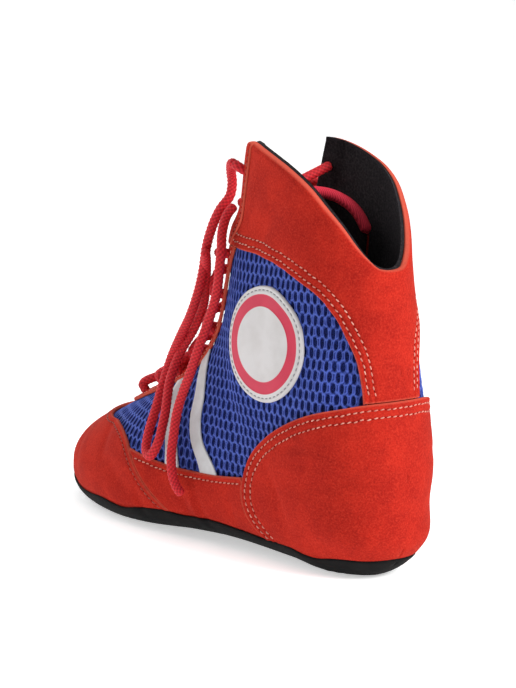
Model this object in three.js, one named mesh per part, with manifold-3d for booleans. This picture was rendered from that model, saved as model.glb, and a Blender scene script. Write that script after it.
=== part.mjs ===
// A soft ankle-high wrestling boot for the left foot, standing empty on its sole.
// x runs from the back of the heel to the toe, y to the outer side, z up. Millimetres.
// The outer skin is lofted through girth sections, as a last maker measures a foot. Each
// section is a closed curve in a plane that holds the y direction: the planes stand upright
// along the foot and fan round the ankle until they lie across the shaft.
// Every piece of the upper is cut from that one skin, offset inwards by its own layers.
import * as THREE from "three";
import { mergeVertices } from "three/addons/utils/BufferGeometryUtils.js";
import Module from "manifold-3d";

// Driving sizes of the boot, EU 42
const length = 275;
const ballWidth = 91;
const heelWidth = 70;
const ankleWidth = 62;
const instepHeight = 107;
const bootHeight = 206;
const notchHeight = 150;
const throatWidth = 48;
const seamHeight = 8;
const heelSeat = 44;

// Layers of the upper, from the outside in, and the pieces inside it
const suedeThickness = 1.5;
const pieceGap = 0.3;
const wallThickness = 2.2;
const insoleThickness = 3;
const tongueThickness = 3;
const tongueClearance = 1;

// Trim
const bandWidth = 11;
const bandThickness = 1;
const patchDiameter = 56;
const patchThickness = 1.2;
const eyestayWidth = 13;
const laceDiameter = 5;
const laceClearance = 1.7;
const eyeletInset = 6;

const shaftHeight = bootHeight - instepHeight;
const meshFace = -(suedeThickness + pieceGap);
const liningFace = meshFace - wallThickness;
const breadths = { ball: ballWidth, heel: heelWidth, ankle: ankleWidth };

// Girth sections from the toe tip to above the collar. backX and ridgeX are shares of the
// length. Heights are foot x instepHeight + shaft x shaftHeight. outer, inner and drift are
// shares of the named breadth. widest is the place of the widest point from back to ridge,
// and low and high are the exponents of the curve on either side of it.
const girths = [
  { at: 0.00, backX: 1.000, backFoot: 0.205, backShaft: 0.00, ridgeX: 1.000, ridgeFoot: 0.205, ridgeShaft: 0.00,
    of: "ball", outer: 0.000, inner: 0.000, drift: -0.110, widest: 0.50, low: 2.2, high: 2.1 },
  { at: 0.05, backX: 0.989, backFoot: 0.084, backShaft: 0.00, ridgeX: 0.983, ridgeFoot: 0.300, ridgeShaft: 0.00,
    of: "ball", outer: 0.203, inner: 0.192, drift: -0.110, widest: 0.50, low: 2.3, high: 2.0 },
  { at: 0.12, backX: 0.953, backFoot: 0.019, backShaft: 0.00, ridgeX: 0.938, ridgeFoot: 0.393, ridgeShaft: 0.00,
    of: "ball", outer: 0.346, inner: 0.335, drift: -0.088, widest: 0.48, low: 2.6, high: 1.9 },
  { at: 0.22, backX: 0.865, backFoot: -0.019, backShaft: 0.00, ridgeX: 0.851, ridgeFoot: 0.495, ridgeShaft: 0.00,
    of: "ball", outer: 0.473, inner: 0.450, drift: -0.055, widest: 0.43, low: 3.0, high: 1.85 },
  { at: 0.34, backX: 0.742, backFoot: -0.035, backShaft: 0.00, ridgeX: 0.738, ridgeFoot: 0.630, ridgeShaft: 0.00,
    of: "ball", outer: 0.522, inner: 0.495, drift: -0.022, widest: 0.37, low: 3.1, high: 1.75 },
  { at: 0.45, backX: 0.633, backFoot: -0.025, backShaft: 0.00, ridgeX: 0.649, ridgeFoot: 0.740, ridgeShaft: 0.00,
    of: "ball", outer: 0.516, inner: 0.473, drift: 0.000, widest: 0.34, low: 2.9, high: 1.7 },
  { at: 0.55, backX: 0.516, backFoot: 0.000, backShaft: 0.00, ridgeX: 0.573, ridgeFoot: 0.856, ridgeShaft: 0.00,
    of: "ball", outer: 0.462, inner: 0.429, drift: 0.006, widest: 0.33, low: 2.6, high: 1.75 },
  { at: 0.64, backX: 0.393, backFoot: 0.005, backShaft: 0.00, ridgeX: 0.516, ridgeFoot: 1.003, ridgeShaft: 0.00,
    of: "heel", outer: 0.536, inner: 0.521, drift: 0.006, widest: 0.33, low: 2.35, high: 1.9 },
  { at: 0.72, backX: 0.247, backFoot: -0.010, backShaft: 0.00, ridgeX: 0.489, ridgeFoot: 1.000, ridgeShaft: 0.18,
    of: "heel", outer: 0.507, inner: 0.520, drift: -0.006, widest: 0.33, low: 2.2, high: 2.1 },
  { at: 0.79, backX: 0.122, backFoot: -0.020, backShaft: 0.00, ridgeX: 0.474, ridgeFoot: 1.000, ridgeShaft: 0.36,
    of: "heel", outer: 0.505, inner: 0.540, drift: -0.012, widest: 0.35, low: 2.15, high: 2.3 },
  { at: 0.85, backX: 0.031, backFoot: 0.100, backShaft: 0.00, ridgeX: 0.462, ridgeFoot: 1.000, ridgeShaft: 0.53,
    of: "heel", outer: 0.510, inner: 0.555, drift: -0.018, widest: 0.38, low: 2.2, high: 2.4 },
  { at: 0.90, backX: -0.002, backFoot: 0.411, backShaft: 0.00, ridgeX: 0.450, ridgeFoot: 1.000, ridgeShaft: 0.67,
    of: "ankle", outer: 0.556, inner: 0.575, drift: -0.016, widest: 0.40, low: 2.3, high: 2.4 },
  { at: 0.95, backX: 0.013, backFoot: 0.850, backShaft: 0.00, ridgeX: 0.428, ridgeFoot: 1.000, ridgeShaft: 0.82,
    of: "ankle", outer: 0.510, inner: 0.525, drift: -0.010, widest: 0.44, low: 2.2, high: 2.4 },
  { at: 1.00, backX: 0.034, backFoot: 1.000, backShaft: 0.43, ridgeX: 0.398, ridgeFoot: 1.000, ridgeShaft: 1.00,
    of: "ankle", outer: 0.492, inner: 0.476, drift: 0.000, widest: 0.50, low: 2.1, high: 2.5 },
  { at: 1.07, backX: 0.050, backFoot: 1.000, backShaft: 1.02, ridgeX: 0.362, ridgeFoot: 1.000, ridgeShaft: 1.20,
    of: "ankle", outer: 0.500, inner: 0.484, drift: 0.000, widest: 0.50, low: 2.1, high: 2.5 },
];

// The seam between upper and sole, and the sole's underside: shares of the length and of
// seamHeight. The underside is flat on the floor at the heel and under the ball.
const soleProfile = [
  { along: -0.04, seam: 1.25, underside: 0.60 },
  { along: 0.02, seam: 1.10, underside: 0.25 },
  { along: 0.07, seam: 0.90, underside: 0.00 },
  { along: 0.25, seam: 0.85, underside: 0.00 },
  { along: 0.36, seam: 1.10, underside: 0.22 },
  { along: 0.43, seam: 1.25, underside: 0.35 },
  { along: 0.50, seam: 1.20, underside: 0.18 },
  { along: 0.58, seam: 1.00, underside: 0.00 },
  { along: 0.77, seam: 0.85, underside: 0.00 },
  { along: 0.87, seam: 1.05, underside: 0.20 },
  { along: 0.94, seam: 1.35, underside: 0.55 },
  { along: 1.00, seam: 1.80, underside: 1.10 },
  { along: 1.04, seam: 2.10, underside: 1.40 },
];

// Top edge of the flaps, from the notch at the back to the front tip: shares of the length
// and of the rise from notchHeight to bootHeight.
const topline = [
  { along: -0.060, rise: -0.02 },
  { along: 0.033, rise: 0.00 },
  { along: 0.047, rise: 0.09 },
  { along: 0.063, rise: 0.21 },
  { along: 0.085, rise: 0.37 },
  { along: 0.113, rise: 0.52 },
  { along: 0.145, rise: 0.67 },
  { along: 0.185, rise: 0.79 },
  { along: 0.235, rise: 0.89 },
  { along: 0.290, rise: 0.97 },
  { along: 0.325, rise: 1.00 },
  { along: 0.420, rise: 1.00 },
];

// Half the throat's opening along the ridge, as a share of throatWidth
const throat = [
  { at: 0.268, half: 0.02 },
  { at: 0.285, half: 0.12 },
  { at: 0.320, half: 0.17 },
  { at: 0.450, half: 0.21 },
  { at: 0.550, half: 0.25 },
  { at: 0.640, half: 0.29 },
  { at: 0.720, half: 0.33 },
  { at: 0.790, half: 0.37 },
  { at: 0.880, half: 0.43 },
  { at: 0.960, half: 0.50 },
  { at: 1.070, half: 0.50 },
];

// Seams in the side view: along is a share of the length, and the height is
// foot x instepHeight + shaft x shaftHeight.
const counterEdge = [
  { along: -0.080, foot: 0.835, shaft: 0 },
  { along: 0.012, foot: 0.829, shaft: 0 },
  { along: 0.072, foot: 0.792, shaft: 0 },
  { along: 0.124, foot: 0.752, shaft: 0 },
  { along: 0.178, foot: 0.694, shaft: 0 },
  { along: 0.234, foot: 0.612, shaft: 0 },
  { along: 0.276, foot: 0.524, shaft: 0 },
  { along: 0.299, foot: 0.436, shaft: 0 },
  { along: 0.309, foot: 0.345, shaft: 0 },
  { along: 0.309, foot: 0.253, shaft: 0 },
  { along: 0.300, foot: 0.180, shaft: 0 },
  { along: 0.270, foot: 0.050, shaft: 0 },
  { along: 0.250, foot: -0.300, shaft: 0 },
];
const cuffEdge = [
  { along: 0.480, foot: 1.000, shaft: 0.47 },
  { along: 0.385, foot: 1.000, shaft: 0.463 },
  { along: 0.269, foot: 1.000, shaft: 0.446 },
  { along: 0.182, foot: 1.000, shaft: 0.386 },
  { along: 0.120, foot: 1.000, shaft: 0.304 },
  { along: 0.080, foot: 1.000, shaft: 0.171 },
  { along: 0.053, foot: 1.000, shaft: 0.033 },
  { along: 0.042, foot: 0.916, shaft: 0 },
  { along: 0.036, foot: 0.819, shaft: 0 },
  { along: 0.033, foot: 0.700, shaft: 0 },
];
const toeEdge = [
  { along: 0.470, foot: -0.300, shaft: 0 },
  { along: 0.510, foot: 0.060, shaft: 0 },
  { along: 0.540, foot: 0.153, shaft: 0 },
  { along: 0.565, foot: 0.208, shaft: 0 },
  { along: 0.595, foot: 0.280, shaft: 0 },
  { along: 0.628, foot: 0.364, shaft: 0 },
  { along: 0.655, foot: 0.418, shaft: 0 },
  { along: 0.709, foot: 0.464, shaft: 0 },
  { along: 0.804, foot: 0.466, shaft: 0 },
  { along: 1.100, foot: 0.467, shaft: 0 },
];
const randTop = [
  { along: 0.200, foot: 0.395, shaft: 0 },
  { along: 0.304, foot: 0.383, shaft: 0 },
  { along: 0.383, foot: 0.359, shaft: 0 },
  { along: 0.463, foot: 0.351, shaft: 0 },
  { along: 0.520, foot: 0.353, shaft: 0 },
  { along: 0.573, foot: 0.366, shaft: 0 },
  { along: 0.640, foot: 0.391, shaft: 0 },
  { along: 0.700, foot: 0.420, shaft: 0 },
];

// Centre lines of the two bands on each side, from the rand up to the eyestay. They widen
// towards the rand: width is a share of bandWidth.
const bandLines = {
  front: [
    { along: 0.505, foot: 0.250, width: 1.1 },
    { along: 0.511, foot: 0.360, width: 1.0 },
    { along: 0.532, foot: 0.517, width: 0.9 },
    { along: 0.555, foot: 0.625, width: 0.9 },
    { along: 0.590, foot: 0.790, width: 0.9 },
  ],
  rear: [
    { along: 0.400, foot: 0.250, width: 1.3 },
    { along: 0.411, foot: 0.366, width: 1.15 },
    { along: 0.451, foot: 0.500, width: 0.85 },
    { along: 0.465, foot: 0.600, width: 0.8 },
    { along: 0.470, foot: 0.715, width: 0.8 },
    { along: 0.500, foot: 0.900, width: 1.0 },
    { along: 0.520, foot: 1.000, width: 1.1 },
  ],
};

// Place of the round patch on the outer ankle, along and around the girths
const patchPlace = { at: 0.890, around: 0.453 };

// Rows of eyelets along the throat, from the toe up
const eyeletRows = [0.33, 0.42, 0.51, 0.6, 0.69, 0.78, 0.86];

// Points of the free lace are shares of the length, of the ballWidth and of the bootHeight.
// The two bars between the flaps: the upper one inside them, the lower one round their edges
const upperBar = [
  [0.3236, -0.2484, 0.9320], [0.3309, -0.1319, 0.9102], [0.3400, 0.0000, 0.8859], [0.3473, 0.1319, 0.8665],
  [0.3491, 0.2363, 0.8495],
];
const lowerBar = [
  [0.3418, -0.3341, 0.8908], [0.3673, -0.3077, 0.8859], [0.3873, -0.2363, 0.8786], [0.3945, -0.0879, 0.8665],
  [0.3945, 0.0879, 0.8544], [0.3927, 0.2220, 0.8427],
];

// The free lace, as it hangs: a loop from the top outer eyelet and back, and a tail that goes
// on from the lower bar
const laceLoop = [
  [0.3673, 0.3022, 0.9442], [0.3855, 0.2857, 0.9417], [0.4073, 0.2418, 0.9175], [0.4145, 0.2198, 0.8883],
  [0.4164, 0.2308, 0.8592], [0.4273, 0.2747, 0.8252], [0.4400, 0.2967, 0.7864], [0.4545, 0.3077, 0.7330],
  [0.4655, 0.3077, 0.6748], [0.4800, 0.3132, 0.6165], [0.5018, 0.3187, 0.5583], [0.5418, 0.3077, 0.4951],
  [0.5745, 0.3022, 0.4369], [0.5855, 0.3352, 0.3738], [0.5764, 0.4066, 0.3107], [0.5655, 0.4835, 0.2476],
  [0.5545, 0.5165, 0.2136], [0.5364, 0.5275, 0.2063], [0.5218, 0.5055, 0.2379], [0.5273, 0.4451, 0.3058],
  [0.5484, 0.3626, 0.3898], [0.5509, 0.2890, 0.4529], [0.5258, 0.2473, 0.5165], [0.5029, 0.2330, 0.5748],
  [0.4844, 0.2549, 0.6228], [0.4684, 0.2813, 0.6680], [0.4516, 0.3165, 0.7010], [0.4364, 0.3538, 0.7262],
];
const laceTail = [
  [0.3938, 0.2451, 0.8408], [0.4000, 0.2857, 0.8155], [0.3945, 0.3286, 0.7767], [0.3836, 0.3571, 0.7379],
  [0.3855, 0.3659, 0.6942], [0.3927, 0.3681, 0.6359], [0.4091, 0.3791, 0.5728], [0.4273, 0.4121, 0.5000],
  [0.4491, 0.4264, 0.4320], [0.4727, 0.4374, 0.3689], [0.4818, 0.4560, 0.3204], [0.4818, 0.4780, 0.2670],
  [0.4800, 0.4978, 0.2184], [0.4727, 0.5055, 0.1748], [0.4618, 0.5000, 0.1456], [0.4473, 0.4923, 0.1286],
];

// Grid of the lofted skin
const stations = [0, 0.02, 0.06, 0.115, 0.175, 0.24, 0.305, 0.37, 0.43, 0.49, 0.545, 0.595, 0.64,
  0.68, 0.72, 0.755, 0.785, 0.815, 0.845, 0.875, 0.905, 0.935, 0.965, 1.0, 1.04, 1.07];
const halfSteps = 13;

const wasm = await Module();
wasm.setup();

// Slope at each knot of a table: weighted by the spans on both sides, or flat at a turning
// point where the curve may not overshoot.
function slopes(xs, ys, monotone) {
  const last = xs.length - 1;
  const rate = (i) => (ys[i + 1] - ys[i]) / (xs[i + 1] - xs[i]);
  return xs.map((x, i) => {
    if (i === 0) return rate(0);
    if (i === last) return rate(last - 1);
    const before = rate(i - 1);
    const after = rate(i);
    if (monotone && before * after <= 0) return 0;
    const left = x - xs[i - 1];
    const right = xs[i + 1] - x;
    const mean = (before * right + after * left) / (left + right);
    if (!monotone) return mean;
    return Math.sign(mean) * Math.min(Math.abs(mean), 2 * Math.abs(before), 2 * Math.abs(after));
  });
}

// A smooth curve through the points (xs, ys), as a function
function curveThrough(xs, ys, monotone = false) {
  const m = slopes(xs, ys, monotone);
  return (x) => {
    const c = Math.min(Math.max(x, xs[0]), xs[xs.length - 1]);
    let i = 0;
    while (i < xs.length - 2 && c > xs[i + 1]) i += 1;
    const h = xs[i + 1] - xs[i];
    const u = (c - xs[i]) / h;
    const v = 1 - u;
    return v * v * (1 + 2 * u) * ys[i] + u * u * (1 + 2 * v) * ys[i + 1]
      + u * v * v * h * m[i] - u * u * v * h * m[i + 1];
  };
}

// Columns of the girth table in millimetres. The rows are mirrored at the toe tip, so that
// the toe closes round: widths change sign there and all else is even.
function girthCurve(read, odd) {
  const ahead = girths.slice(1, 3).reverse();
  const xs = [...ahead.map((g) => -g.at), ...girths.map((g) => g.at)];
  const ys = [...ahead.map((g) => (odd ? -read(g) : read(g))), ...girths.map(read)];
  return curveThrough(xs, ys);
}
const heightOf = (foot, shaft) => foot * instepHeight + shaft * shaftHeight;
const girth = {
  backX: girthCurve((g) => g.backX * length),
  backZ: girthCurve((g) => heightOf(g.backFoot, g.backShaft)),
  ridgeX: girthCurve((g) => g.ridgeX * length),
  ridgeZ: girthCurve((g) => heightOf(g.ridgeFoot, g.ridgeShaft)),
  outer: girthCurve((g) => g.outer * breadths[g.of], true),
  inner: girthCurve((g) => g.inner * breadths[g.of], true),
  drift: girthCurve((g) => g.drift * breadths[g.of]),
  widest: girthCurve((g) => g.widest),
  low: girthCurve((g) => g.low),
  high: girthCurve((g) => g.high),
};

// One half of a section, from the ridge to the back, as points with their distance along it
const curveSteps = 24;
function halfSection(at, side) {
  const [backX, backZ] = [girth.backX(at), girth.backZ(at)];
  const [riseX, riseZ] = [girth.ridgeX(at) - backX, girth.ridgeZ(at) - backZ];
  const breadth = side > 0 ? girth.outer(at) : girth.inner(at);
  const [widest, low, high] = [girth.widest(at), girth.low(at), girth.high(at)];
  const points = [];
  for (let i = 0; i <= 2 * curveSteps; i += 1) {
    const upper = i <= curveSteps;
    const angle = (Math.PI / 2) * (upper ? 1 - i / curveSteps : 2 - i / curveSteps);
    const power = 2 / (upper ? high : low);
    const along = upper
      ? widest + (1 - widest) * Math.sin(angle) ** power
      : widest * (1 - Math.cos(angle) ** power);
    const out = (upper ? Math.cos(angle) : Math.sin(angle)) ** power;
    points.push(new THREE.Vector3(
      backX + riseX * along, girth.drift(at) + side * breadth * out, backZ + riseZ * along));
  }
  const run = [0];
  for (let i = 1; i < points.length; i += 1) run.push(run[i - 1] + points[i].distanceTo(points[i - 1]));
  return { points, run, total: run[run.length - 1] };
}

const sectionStore = new Map();
function sectionAt(at, side) {
  const key = at.toFixed(6) + side;
  if (!sectionStore.has(key)) sectionStore.set(key, halfSection(at, side));
  return sectionStore.get(key);
}

// The skin: at is the place along the girths and around the share of the half girth, from 0
// on the ridge to 1 at the back, positive on the outer side.
function skin(at, around) {
  const { points, run, total } = sectionAt(Math.abs(at), around < 0 ? -1 : 1);
  if (total < 1e-9) return points[0].clone();
  const reach = Math.min(Math.abs(around), 1) * total;
  let i = 1;
  while (i < run.length - 1 && run[i] < reach) i += 1;
  const share = (reach - run[i - 1]) / Math.max(run[i] - run[i - 1], 1e-12);
  return points[i - 1].clone().lerp(points[i], share);
}

// The skin's outward normal, from small steps along and around it
const alongStep = 0.006;
const aroundStep = 0.03;
function normalAt(at, around) {
  if (at < alongStep) return new THREE.Vector3(1, 0, 0);
  const end = girths[girths.length - 1].at;
  const side = around < 0 ? -1 : 1;
  const turn = Math.abs(around);
  const ahead = skin(Math.min(at + alongStep, end), around);
  const along = ahead.sub(skin(at - alongStep, around));
  // Past the ridge or the back, the step goes on down the other half.
  const near = turn < aroundStep ? skin(at, -side * (aroundStep - turn)) : skin(at, side * (turn - aroundStep));
  const far = turn > 1 - aroundStep
    ? skin(at, -side * (2 - turn - aroundStep))
    : skin(at, side * (turn + aroundStep));
  return far.sub(near).cross(along).multiplyScalar(side).normalize();
}
const skinOffset = (at, around, out) => skin(at, around).addScaledVector(normalAt(at, around), out);

// A closed mesh as a solid
function solid(geometry) {
  const bare = new THREE.BufferGeometry().setAttribute("position", geometry.getAttribute("position"));
  if (geometry.index) bare.setIndex(geometry.index);
  const merged = mergeVertices(bare, 1e-4);
  return new wasm.Manifold(new wasm.Mesh({
    numProp: 3,
    vertProperties: new Float32Array(merged.attributes.position.array),
    triVerts: new Uint32Array(merged.index.array),
  }));
}

function geometryOf(points, faces) {
  return new THREE.BufferGeometry()
    .setAttribute("position", new THREE.Float32BufferAttribute(points.flatMap((p) => [p.x, p.y, p.z]), 3))
    .setIndex(faces.flat());
}

// A closed body from points and faces, turned so that its faces point out
function outward(points, faces) {
  const made = solid(geometryOf(points, faces));
  return made.volume() > 0 ? made : solid(geometryOf(points, faces.map(([a, b, c]) => [a, c, b])));
}

// The boot's whole form inside the skin, offset by out: rings round the girths, a pole at
// the toe tip and a lid on the last section.
function form(out) {
  const ring = 2 * halfSteps;
  const points = [skinOffset(0, 0, out)];
  for (const at of stations.slice(1)) {
    for (let j = 0; j < ring; j += 1) {
      const turn = j / halfSteps;
      points.push(skinOffset(at, turn <= 1 ? turn : turn - 2, out));
    }
  }
  const rings = stations.length - 1;
  const index = (i, j) => 1 + i * ring + (j % ring);
  const faces = [];
  for (let j = 0; j < ring; j += 1) {
    faces.push([0, index(0, j), index(0, j + 1)]);
    for (let i = 0; i < rings - 1; i += 1) {
      faces.push([index(i, j), index(i + 1, j), index(i + 1, j + 1)]);
      faces.push([index(i, j), index(i + 1, j + 1), index(i, j + 1)]);
    }
    faces.push([points.length, index(rings - 1, j + 1), index(rings - 1, j)]);
  }
  const lid = new THREE.Vector3();
  for (let j = 0; j < ring; j += 1) lid.add(points[index(rings - 1, j)]);
  points.push(lid.divideScalar(ring));
  return outward(points, faces);
}

// A side-view outline, points of x and z, run right across the boot
const acrossHalf = 90;
function acrossPrism(outline, from = -acrossHalf, to = acrossHalf) {
  const shape = new THREE.Shape(outline.map(([x, z]) => new THREE.Vector2(x, z)));
  const prism = new THREE.ExtrudeGeometry(shape, { depth: to - from, bevelEnabled: false, curveSegments: 1 });
  prism.rotateX(Math.PI / 2).translate(0, to, 0);
  return solid(prism);
}

const beyond = 60;
const boxOutline = () => [[-beyond, -beyond], [length + beyond, -beyond],
  [length + beyond, bootHeight + beyond], [-beyond, bootHeight + beyond]];
const profileX = soleProfile.map((p) => p.along * length);
const seamZ = curveThrough(profileX, soleProfile.map((p) => p.seam * seamHeight), true);
const undersideZ = curveThrough(profileX, soleProfile.map((p) => p.underside * seamHeight), true);
const profileSteps = 20;
function profileLine(height, lift = 0) {
  const [first, last] = [profileX[0], profileX[profileX.length - 1]];
  return Array.from({ length: profileSteps + 1 }, (_, i) => {
    const x = first + ((last - first) * i) / profileSteps;
    return [x, height(x) + lift];
  });
}

// All that lies under the seam, raised or lowered by lift
function underSeam(lift) {
  const line = profileLine(seamZ, lift);
  const [first, last] = [profileX[0], profileX[profileX.length - 1]];
  return acrossPrism([[first - beyond, -beyond], [last + beyond, -beyond],
    [last + beyond, line[profileSteps][1]], ...line.slice().reverse(), [first - beyond, line[0][1]]]);
}

// All that lies above the flaps' top edge
function aboveTopline() {
  const rise = bootHeight - notchHeight;
  const line = topline.map((p) => [p.along * length, notchHeight + p.rise * rise]);
  const last = line[line.length - 1];
  const high = bootHeight + beyond;
  return acrossPrism([[line[0][0] - beyond, line[0][1]], ...line, [last[0] + beyond, last[1]],
    [last[0] + beyond, high], [line[0][0] - beyond, high]]);
}

// The ridge in the side view: its point and its outward direction at a place along the girths
function ridgeFrame(at) {
  const step = 0.01;
  const point = skin(at, 0);
  const ahead = skin(at + step, 0).sub(skin(at - step, 0)).normalize();
  const out = new THREE.Vector3(ahead.z, 0, -ahead.x);
  return { point, out };
}
const throatHalf = curveThrough(throat.map((p) => p.at), throat.map((p) => p.half * throatWidth), true);

// A wedge along the ridge: half the width at each place, from cutIn below the ridge to
// cutOut above it
const cutOut = 16;
const throatDepth = 34;
const wedgeSteps = 16;
function ridgeWedge(from, to, halfAt, cutIn) {
  const points = [];
  const faces = [];
  for (let i = 0; i <= wedgeSteps; i += 1) {
    const at = from + ((to - from) * i) / wedgeSteps;
    const { point, out } = ridgeFrame(at);
    const half = halfAt(at);
    for (const [side, reach] of [[-1, -cutIn], [1, -cutIn], [1, cutOut], [-1, cutOut]]) {
      const p = point.clone().addScaledVector(out, reach);
      p.y += side * half;
      points.push(p);
    }
    if (i === 0) continue;
    const [a, b] = [4 * (i - 1), 4 * i];
    for (let k = 0; k < 4; k += 1) {
      const n = (k + 1) % 4;
      faces.push([a + k, b + k, b + n], [a + k, b + n, a + n]);
    }
  }
  const e = 4 * wedgeSteps;
  faces.push([0, 1, 2], [0, 2, 3], [e, e + 2, e + 1], [e, e + 3, e + 2]);
  return outward(points, faces);
}
const throatStart = throat[0].at;
const throatEnd = throat[throat.length - 1].at;
const throatCut = ridgeWedge(throatStart, throatEnd, throatHalf, throatDepth);

// The solids that the pieces of the upper are cut from
const outerForm = form(0);
const suedeForm = form(-suedeThickness);
const meshForm = form(meshFace);
const liningForm = form(liningFace);
const suedeShell = outerForm.subtract(suedeForm);
const cutAway = underSeam(0).add(aboveTopline()).add(throatCut);

// A side-view seam as points of x and z, moved by its gap
function seamLine(rows, moveX = 0, moveZ = 0) {
  return rows.map((p) => [p.along * length + moveX, heightOf(p.foot, p.shaft) + moveZ]);
}
const counterRegion = (gap = 0) => acrossPrism([...seamLine(counterEdge, gap, gap), [-beyond, -beyond]]);
const toeRegion = (gap = 0) => acrossPrism([...seamLine(toeEdge, -gap, gap), [length + beyond, -beyond]]);
function randRegion(gap = 0) {
  const line = seamLine(randTop, 0, gap);
  return acrossPrism([[line[0][0], -beyond], ...line, [line[line.length - 1][0], -beyond]]);
}
function cuffRegion(gap = 0) {
  const high = bootHeight + beyond;
  const line = seamLine(cuffEdge, gap, -gap);
  return acrossPrism([[line[0][0], high], ...line, [-beyond, line[line.length - 1][1]], [-beyond, high]]);
}
const eyestayStart = 0.245;
const eyestayDepth = 15;
function eyestayRegion(gap = 0) {
  const half = (at) => throatHalf(at) + eyestayWidth + gap;
  return ridgeWedge(eyestayStart, throatEnd, half, eyestayDepth + gap);
}
const outerSide = acrossPrism(boxOutline(), 0);
const innerSide = acrossPrism(boxOutline(), -acrossHalf, 0);

function upperWall() {
  return meshForm.subtract(liningForm).subtract(cutAway);
}
function heelCounter() {
  return suedeShell.intersect(counterRegion()).subtract(cutAway);
}
function toeCap() {
  return suedeShell.intersect(toeRegion()).subtract(cutAway);
}
function rand(side) {
  return suedeShell.intersect(randRegion()).intersect(side)
    .subtract(counterRegion(pieceGap)).subtract(toeRegion(pieceGap)).subtract(cutAway);
}
function ankleCuff() {
  return suedeShell.intersect(cuffRegion()).subtract(counterRegion(pieceGap)).subtract(cutAway);
}
function eyestay() {
  return suedeShell.intersect(eyestayRegion()).subtract(cuffRegion(pieceGap))
    .subtract(toeRegion(pieceGap)).subtract(cutAway);
}

// A band from its centre line, run out to one side
const bandShell = form(-suedeThickness + bandThickness).subtract(suedeForm);
function saddleBand(line, side) {
  const edge = (turn) => line.map((p) => [
    p.along * length + (turn * p.width * bandWidth) / 2, p.foot * instepHeight]);
  const region = acrossPrism([...edge(1), ...edge(-1).reverse()]);
  return bandShell.intersect(region).intersect(side)
    .subtract(randRegion(pieceGap)).subtract(toeRegion(pieceGap)).subtract(eyestayRegion(pieceGap));
}

// A round patch, cut along the skin's own normal at its centre
const patchSides = 40;
const patchReach = 12;
function sidePatch() {
  const { at, around } = patchPlace;
  const round = new THREE.CylinderGeometry(patchDiameter / 2, patchDiameter / 2, 2 * patchReach, patchSides);
  const turn = new THREE.Quaternion().setFromUnitVectors(new THREE.Vector3(0, 1, 0), normalAt(at, around));
  round.applyQuaternion(turn);
  round.translate(...skin(at, around));
  return form(-suedeThickness + patchThickness).subtract(suedeForm).intersect(solid(round));
}

// Thin sole: it follows the form just outside the suede, between the seam and the floor
const soleLip = 0.8;
function outsole() {
  const top = profileLine(seamZ, -pieceGap);
  const bottom = profileLine(undersideZ);
  return form(soleLip).intersect(acrossPrism([...bottom, ...top.slice().reverse()]));
}

function insole() {
  const bottom = profileLine(seamZ, pieceGap);
  const top = profileLine(seamZ, pieceGap + insoleThickness);
  return form(liningFace - pieceGap).intersect(acrossPrism([...bottom, ...top.slice().reverse()]));
}

// The tongue is a strip that follows the inside of the lining. Towards its top it slides to
// the inner side and leans back into the shaft.
const tongueRun = { from: 0.30, to: 1.0, steps: 16, across: 8 };
const tongueHalf = { low: 0.22, high: 0.25 };
const tongueSlide = 0.08;
const tongueLean = 26;
const leanFrom = 0.72;
const tongueTop = [
  { along: 0.08, rise: 0.02 },
  { along: 0.20, rise: 0.12 },
  { along: 0.235, rise: 0.38 },
  { along: 0.27, rise: 0.50 },
  { along: 0.31, rise: 0.56 },
  { along: 0.50, rise: 0.56 },
];
function tonguePoint(at, around, depth = 0) {
  const share = Math.max(0, (at - leanFrom) / (tongueRun.to - leanFrom));
  const ease = share * share * (3 - 2 * share);
  return skinOffset(at, around - tongueSlide * ease, liningFace - tongueClearance - depth)
    .addScaledVector(ridgeFrame(at).out, -tongueLean * ease);
}
function tongue() {
  const { from, to, steps, across } = tongueRun;
  const layers = [0, tongueThickness].map((depth) => {
    const points = [];
    for (let i = 0; i <= steps; i += 1) {
      const half = tongueHalf.low + ((tongueHalf.high - tongueHalf.low) * i) / steps;
      for (let j = 0; j <= across; j += 1) {
        const at = from + ((to - from) * i) / steps;
        points.push(tonguePoint(at, half * ((2 * j) / across - 1), depth));
      }
    }
    return points;
  });
  const row = across + 1;
  const under = layers[0].length;
  const faces = [];
  const quad = (a, b, c, d) => faces.push([a, b, c], [a, c, d]);
  for (let i = 0; i < steps; i += 1) {
    for (let j = 0; j < across; j += 1) {
      const a = i * row + j;
      quad(a, a + row, a + row + 1, a + 1);
      quad(under + a, under + a + 1, under + a + row + 1, under + a + row);
    }
    const [a, b] = [i * row, i * row + across];
    quad(a, under + a, under + a + row, a + row);
    quad(b, b + row, under + b + row, under + b);
  }
  for (let j = 0; j < across; j += 1) {
    const end = steps * row + j;
    quad(j, j + 1, under + j + 1, under + j);
    quad(end, under + end, under + end + 1, end + 1);
  }
  const high = bootHeight + beyond;
  const line = tongueTop.map((p) => [p.along * length, notchHeight + p.rise * (bootHeight - notchHeight)]);
  const above = acrossPrism([...line, [line[line.length - 1][0], high], [line[0][0], high]]);
  return outward([...layers[0], ...layers[1]], faces).subtract(above);
}

// A cord of round section along points
const laceSides = 6;
const laceSteps = 1.4;
const barSteps = 1.2;
function cordAlong(points, steps) {
  const radius = laceDiameter / 2;
  const section = new THREE.Shape(Array.from({ length: laceSides }, (_, i) => {
    const angle = (2 * Math.PI * i) / laceSides;
    return new THREE.Vector2(radius * Math.cos(angle), radius * Math.sin(angle));
  }));
  const path = new THREE.CatmullRomCurve3(points);
  return solid(new THREE.ExtrudeGeometry(section, { steps, extrudePath: path, bevelEnabled: false }));
}

// A stretch of the free lace, from its points given as shares
function freeLace(shares, stepsPerPoint) {
  const points = shares.map(([along, across, up]) => new THREE.Vector3(
    along * length, across * ballWidth, up * bootHeight));
  return cordAlong(points, Math.round(stepsPerPoint * shares.length));
}

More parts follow.
